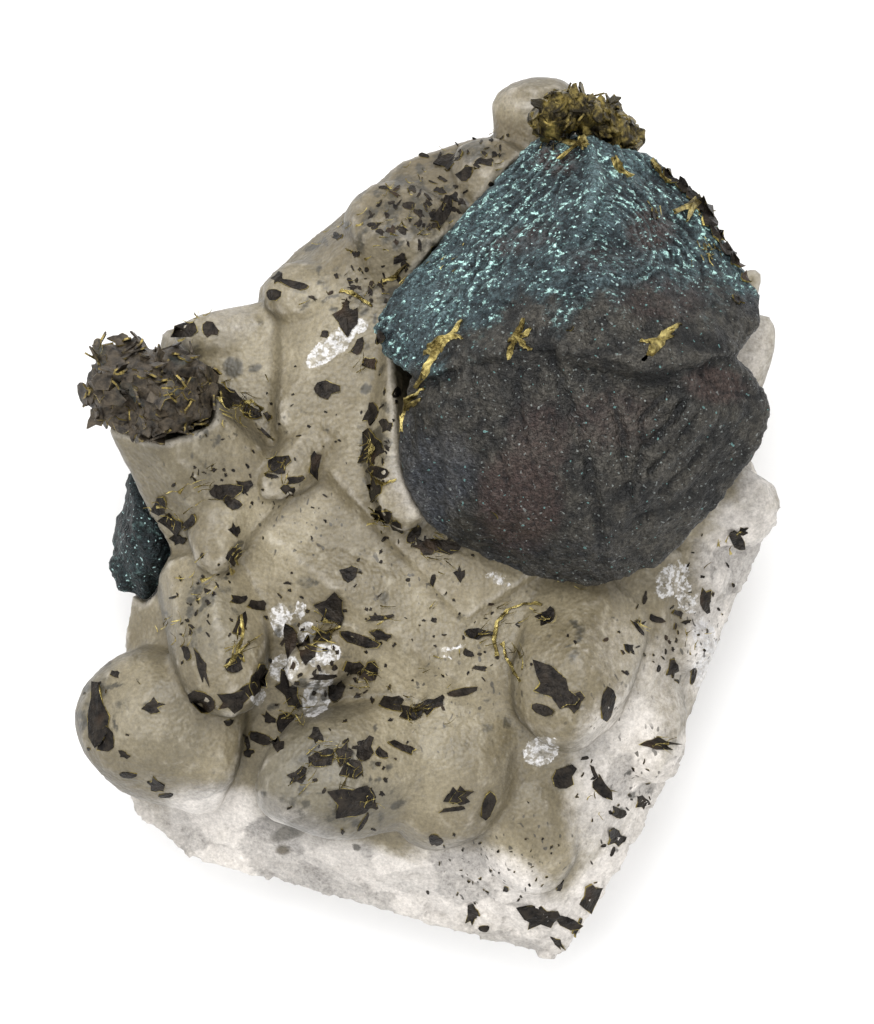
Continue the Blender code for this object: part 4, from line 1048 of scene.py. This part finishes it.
# %% [markdown]
# ## The sulfide crust
# The point of the upper left crystal is wrapped in dark plates, set on edge like shingles,
# with brass along their rims. A lumpy core from the solid carries them, and plates are set on
# it at random, each tilted away from the stone.

# %% The core and the plates of the crust
crust_core = skin_of("sulfide_crust", "crust_core", 0.16, 3)
points, normals = points_of(crust_core), normals_of(crust_core)
grow = 0.30 * facets(points, 0.8, 2) + 0.10 * heights(points, 1.4, 3, 1) + 0.02
keep_points(crust_core, points + normals * (grow * MM)[:, None])
dress(crust_core, crust)
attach(crust_core, "root")
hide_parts("sulfide_crust")


def set_on(shape, place, normal, size, wide, tilt):
    """A copy of a shape set on a skin, tilted away from it by an angle in degrees."""
    copy = shape.data.copy()
    frame_z = normal.to_track_quat("Z", "Y").to_matrix().to_4x4()
    spin = Matrix.Rotation(random.uniform(0, 2 * math.pi), 4, "Z")
    lean = Matrix.Rotation(math.radians(tilt), 4, "X")
    scale = Matrix.Diagonal((size * wide / 2, size / 2, 1, 1))
    shift = Matrix.Translation((0, size * MM * 0.18, 0))
    stand = Matrix.Translation(place + normal * 0.05 * MM)
    copy.transform(stand @ frame_z @ spin @ lean @ shift @ scale)
    return copy


def plates_on(piece, count, sizes, tilts, lowest):
    """Copies of the flake shapes on random faces of a piece that don't look down too far."""
    faces = [face for face in piece.data.polygons if face.normal.z > lowest]
    meshes = []
    for number in range(count):
        face = random.choice(faces)
        meshes.append(set_on(shapes[number % len(shapes)], face.center.copy(), face.normal.copy(),
                             random.uniform(*sizes), random.uniform(0.5, 0.9),
                             random.uniform(*tilts)))
    return meshes


plates = plates_on(crust_core, 240, (0.7, 1.6), (3, 27), -0.2)
crust_plates = joined("crust_plates", plates, crust)
print("the crust has", len(crust_plates.data.polygons), "faces")

# %% [markdown]
# ## The chalcopyrite crown
# Brass wraps the tip of the large crystal in ragged leaves. The core is the solid with deep
# folds, and smaller leaves of brass are set on it.

# %% The core and the leaves of the crown
crown_core = skin_of("chalcopyrite_crown", "crown_core", 0.13, 3)
points, normals = points_of(crown_core), normals_of(crown_core)
folded = np.stack([points[:, 0] * 2.2, points[:, 1] * 0.8, points[:, 2] * 0.8], axis=1)
grow = 0.32 * heights(folded, 0.6, 3, 1) + 0.22 * facets(points, 1.0, 5)
keep_points(crown_core, points + normals * (grow * MM)[:, None])
dress(crown_core, aged)
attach(crown_core, "root")
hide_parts("chalcopyrite_crown")
leaves = plates_on(crown_core, 110, (0.6, 1.4), (0, 20), 0.0)
crown_leaves = joined("crown_leaves", leaves, aged)
print("the crown has", len(crown_leaves.data.polygons), "faces on its leaves")


# %% [markdown]
# ## Brass in the seam, and plates on the rim
# Four blades of brass fill cracks of the large crystal, and dark plates with brassy edges
# overlap along its right rim. A blade is a ribbon: one edge is pulled out from point to point,
# each time with a new width, and the ribbon is given a thickness. The same ribbons make the
# loops in cracks of the quartz and the strips that hang from the crown.

# %% Blades from ribbons
OUTER = 18 * MM  # the height of the crystal's edge


def ribbon(name, stations, tree, lift=0.10):
    """A thin strip through stations of px, py and width in pixels, laid on a skin."""
    strip = []
    for px, py, wide in stations:
        start, aim = sight(px, py)
        place, normal, _, _ = tree.ray_cast(start, aim)
        if place is None:  # just past the edge of the skin
            place = tree.find_nearest(start + aim * (start.z - OUTER))[0]
        strip.append((place + Vector((0, 0, lift * MM)), wide * PIXEL))
    first, second = strip[0][0], strip[1][0]
    clear_selection()
    bpy.ops.mesh.primitive_plane_add(size=1)
    piece = bpy.context.object
    piece.name = name
    side = (second - first).cross(UP).normalized()
    corners = [first - side * strip[0][1] / 2, first + side * strip[0][1] / 2,
               second - side * strip[1][1] / 2, second + side * strip[1][1] / 2]
    for vertex, corner in zip(piece.data.vertices, corners):
        vertex.co = corner
    bpy.ops.object.mode_set(mode="EDIT")
    bpy.ops.mesh.select_mode(type="VERT")
    bpy.ops.object.mode_set(mode="OBJECT")
    for vertex in piece.data.vertices:
        vertex.select = vertex.index in (2, 3)
    for edge in piece.data.edges:
        edge.select = set(edge.vertices) == {2, 3}
    for face in piece.data.polygons:
        face.select = False
    bpy.ops.object.mode_set(mode="EDIT")
    for (place, wide), (last, last_wide) in zip(strip[2:], strip[1:]):
        bpy.ops.mesh.extrude_region_move(TRANSFORM_OT_translate={"value": place - last})
        bpy.ops.transform.resize(value=(max(wide / last_wide, 0.05),) * 3, center_override=place)
    bpy.ops.mesh.select_all(action="SELECT")
    bpy.ops.mesh.subdivide(number_cuts=2)
    bpy.ops.transform.vertex_random(offset=0.15 * MM, seed=len(strip))
    bpy.ops.object.mode_set(mode="OBJECT")
    apply_modifier(piece, "SOLIDIFY", thickness=THIN, offset=0)
    take(piece)
    bpy.ops.object.mode_set(mode="EDIT")
    bpy.ops.mesh.select_all(action="SELECT")
    bpy.ops.mesh.normals_make_consistent(inside=False)
    bpy.ops.object.mode_set(mode="OBJECT")
    return piece


BLADES = {
    "seam_blade_left": [
        [(415, 388, 3), (424, 374, 7), (434, 357, 9), (441, 345, 12), (452, 334, 7), (462, 319, 3)],
        [(427, 345, 3), (440, 340, 7), (452, 336, 8), (462, 338, 3)],
        [(424, 352, 4), (432, 350, 10), (440, 346, 14), (446, 340, 5)],
    ],
    "seam_blade_middle": [
        [(508, 359, 2), (511, 348, 6), (516, 336, 7), (521, 327, 5), (523, 318, 3)],
        [(508, 340, 3), (516, 336, 7), (526, 334, 6), (531, 328, 2)],
        [(518, 338, 4), (524, 345, 5), (530, 350, 2)],
    ],
    "seam_blade_right": [
        [(643, 361, 2), (650, 353, 7), (658, 344, 10), (665, 334, 8), (672, 328, 5), (682, 323, 2)],
        [(640, 340, 2), (652, 342, 6), (664, 338, 6), (674, 336, 2)],
    ],
    "seam_blade_low": [
        [(402, 432, 4), (400, 420, 7), (402, 408, 8), (409, 399, 10), (417, 394, 8), (424, 388, 3)],
        [(404, 412, 3), (410, 406, 7), (420, 400, 3)],
    ],
}
for name, strips in BLADES.items():
    parts = [ribbon(f"{name}_{number}", strip, bornite_tree) for number, strip in enumerate(strips)]
    fused(f"{name}_leaf", parts, brass, name)
DRAPES = [  # brass that hangs from the crown over the crystal
    [(552, 84, 3), (556, 98, 6), (553, 112, 6), (549, 126, 4), (546, 138, 2)],
    [(556, 98, 3), (561, 112, 6), (562, 126, 5), (560, 136, 2)],
    [(548, 100, 4), (540, 110, 5), (534, 118, 3)], [(566, 96, 3), (572, 106, 5), (574, 116, 2)],
    [(640, 128, 6), (648, 140, 8), (650, 152, 4)], [(652, 160, 3), (660, 172, 4), (668, 182, 2)],
    [(690, 192, 4), (698, 200, 7), (706, 206, 3)],
]
LOOPS = [  # brass that runs along cracks of the quartz
    [(497, 656, 2), (494, 640, 3), (497, 622, 3), (508, 609, 3), (524, 603, 3), (542, 604, 2)],
    [(502, 642, 2), (506, 657, 2), (513, 670, 2), (520, 681, 1)],
    [(372, 438, 2), (370, 455, 3), (374, 470, 3), (371, 484, 2)],
    [(374, 480, 2), (384, 484, 3), (394, 481, 2)],
    [(240, 615, 2), (243, 630, 3), (238, 648, 3), (244, 662, 2)],
    [(226, 668, 2), (236, 655, 3), (247, 645, 2)], [(312, 628, 2), (326, 634, 3), (338, 628, 2)],
    [(340, 290, 2), (352, 293, 4), (364, 300, 4), (372, 306, 2)],
    [(383, 282, 2), (396, 276, 4), (405, 266, 2)], [(182, 400, 2), (196, 412, 3), (206, 426, 2)],
    [(240, 404, 2), (252, 400, 3), (262, 410, 2)],
]
loops = [ribbon(f"loop_{number}", line, quartz_tree, 0.12) for number, line in enumerate(LOOPS)]
loops += [ribbon(f"drape_{number}", line, bornite_tree, 0.35)
          for number, line in enumerate(DRAPES)]
fused("brass_loops", loops, brass)
print(len(BLADES), "blades,", len(LOOPS), "loops and", len(DRAPES), "drapes of brass")

# %% Plates on the rim
RIM = [  # px, py, length, width, turn, curl
    (646, 153, 16, 12, 20, 0.3), (655, 166, 14, 8, -40, 0.2), (668, 178, 20, 12, -45, 0.3),
    (683, 188, 20, 12, -55, 0.3), (692, 194, 18, 14, -30, 0.4), (702, 206, 22, 13, -60, 0.4),
    (709, 220, 20, 14, -70, 0.3), (717, 234, 20, 12, -60, 0.3), (726, 250, 20, 12, -50, 0.3),
    (735, 262, 18, 10, -60, 0.3), (744, 278, 18, 10, -60, 0.3), (654, 215, 16, 8, -60, 0.2),
    (395, 262, 18, 8, 50, 0.2), (407, 258, 14, 7, 45, 0.2), (380, 338, 14, 10, 60, 0.2),
    (570, 330, 9, 3, 20, 0.1), (495, 515, 10, 3, -40, 0.1), (736, 300, 14, 6, -50, 0.1),
]
rim_meshes = [lay(shapes[number % len(shapes)], bornite_tree, *row[:5], 0.12, row[5])
              for number, row in enumerate(RIM)]
rim_nodes = [name for name in nodes if name.startswith("rim_plate")]
joined("rim_plates", [mesh for mesh in rim_meshes if mesh], flake, *rim_nodes)
THREADS = [  # as in NEEDLES, on the bornite
    (668, 178, 8, 5, -50, 20, 12), (700, 200, 16, 8, -55, 40, 8), (710, 250, 18, 26, -40, 60, 8),
    (655, 213, 6, 5, -60, 30, 9), (443, 268, 40, 8, 45, 20, 6), (400, 262, 12, 8, 50, 30, 7),
    (553, 140, 10, 8, 70, 30, 9),
]
threads = []
for nx, ny, spread, count, turn, swing, long in THREADS:
    for _ in range(count):
        x, y = nx + random.gauss(0, spread * 0.5), ny + random.gauss(0, spread * 0.5)
        mesh = lay(needle, bornite_tree, x, y, long * random.uniform(0.5, 1.2),
                   random.uniform(1.2, 2.4), turn + random.uniform(-swing, swing), 0.08)
        if mesh:
            threads.append(mesh)
joined("rim_threads", threads, brass)
print(len(RIM), "rim plates and", len(threads), "threads of brass")

# %% [markdown]
# ## Putting away the patterns
# The shapes that were copied aren't part of the specimen, so they are deleted.

# %% Finish
for shape in shapes + [needle]:
    bpy.data.objects.remove(shape, do_unlink=True)
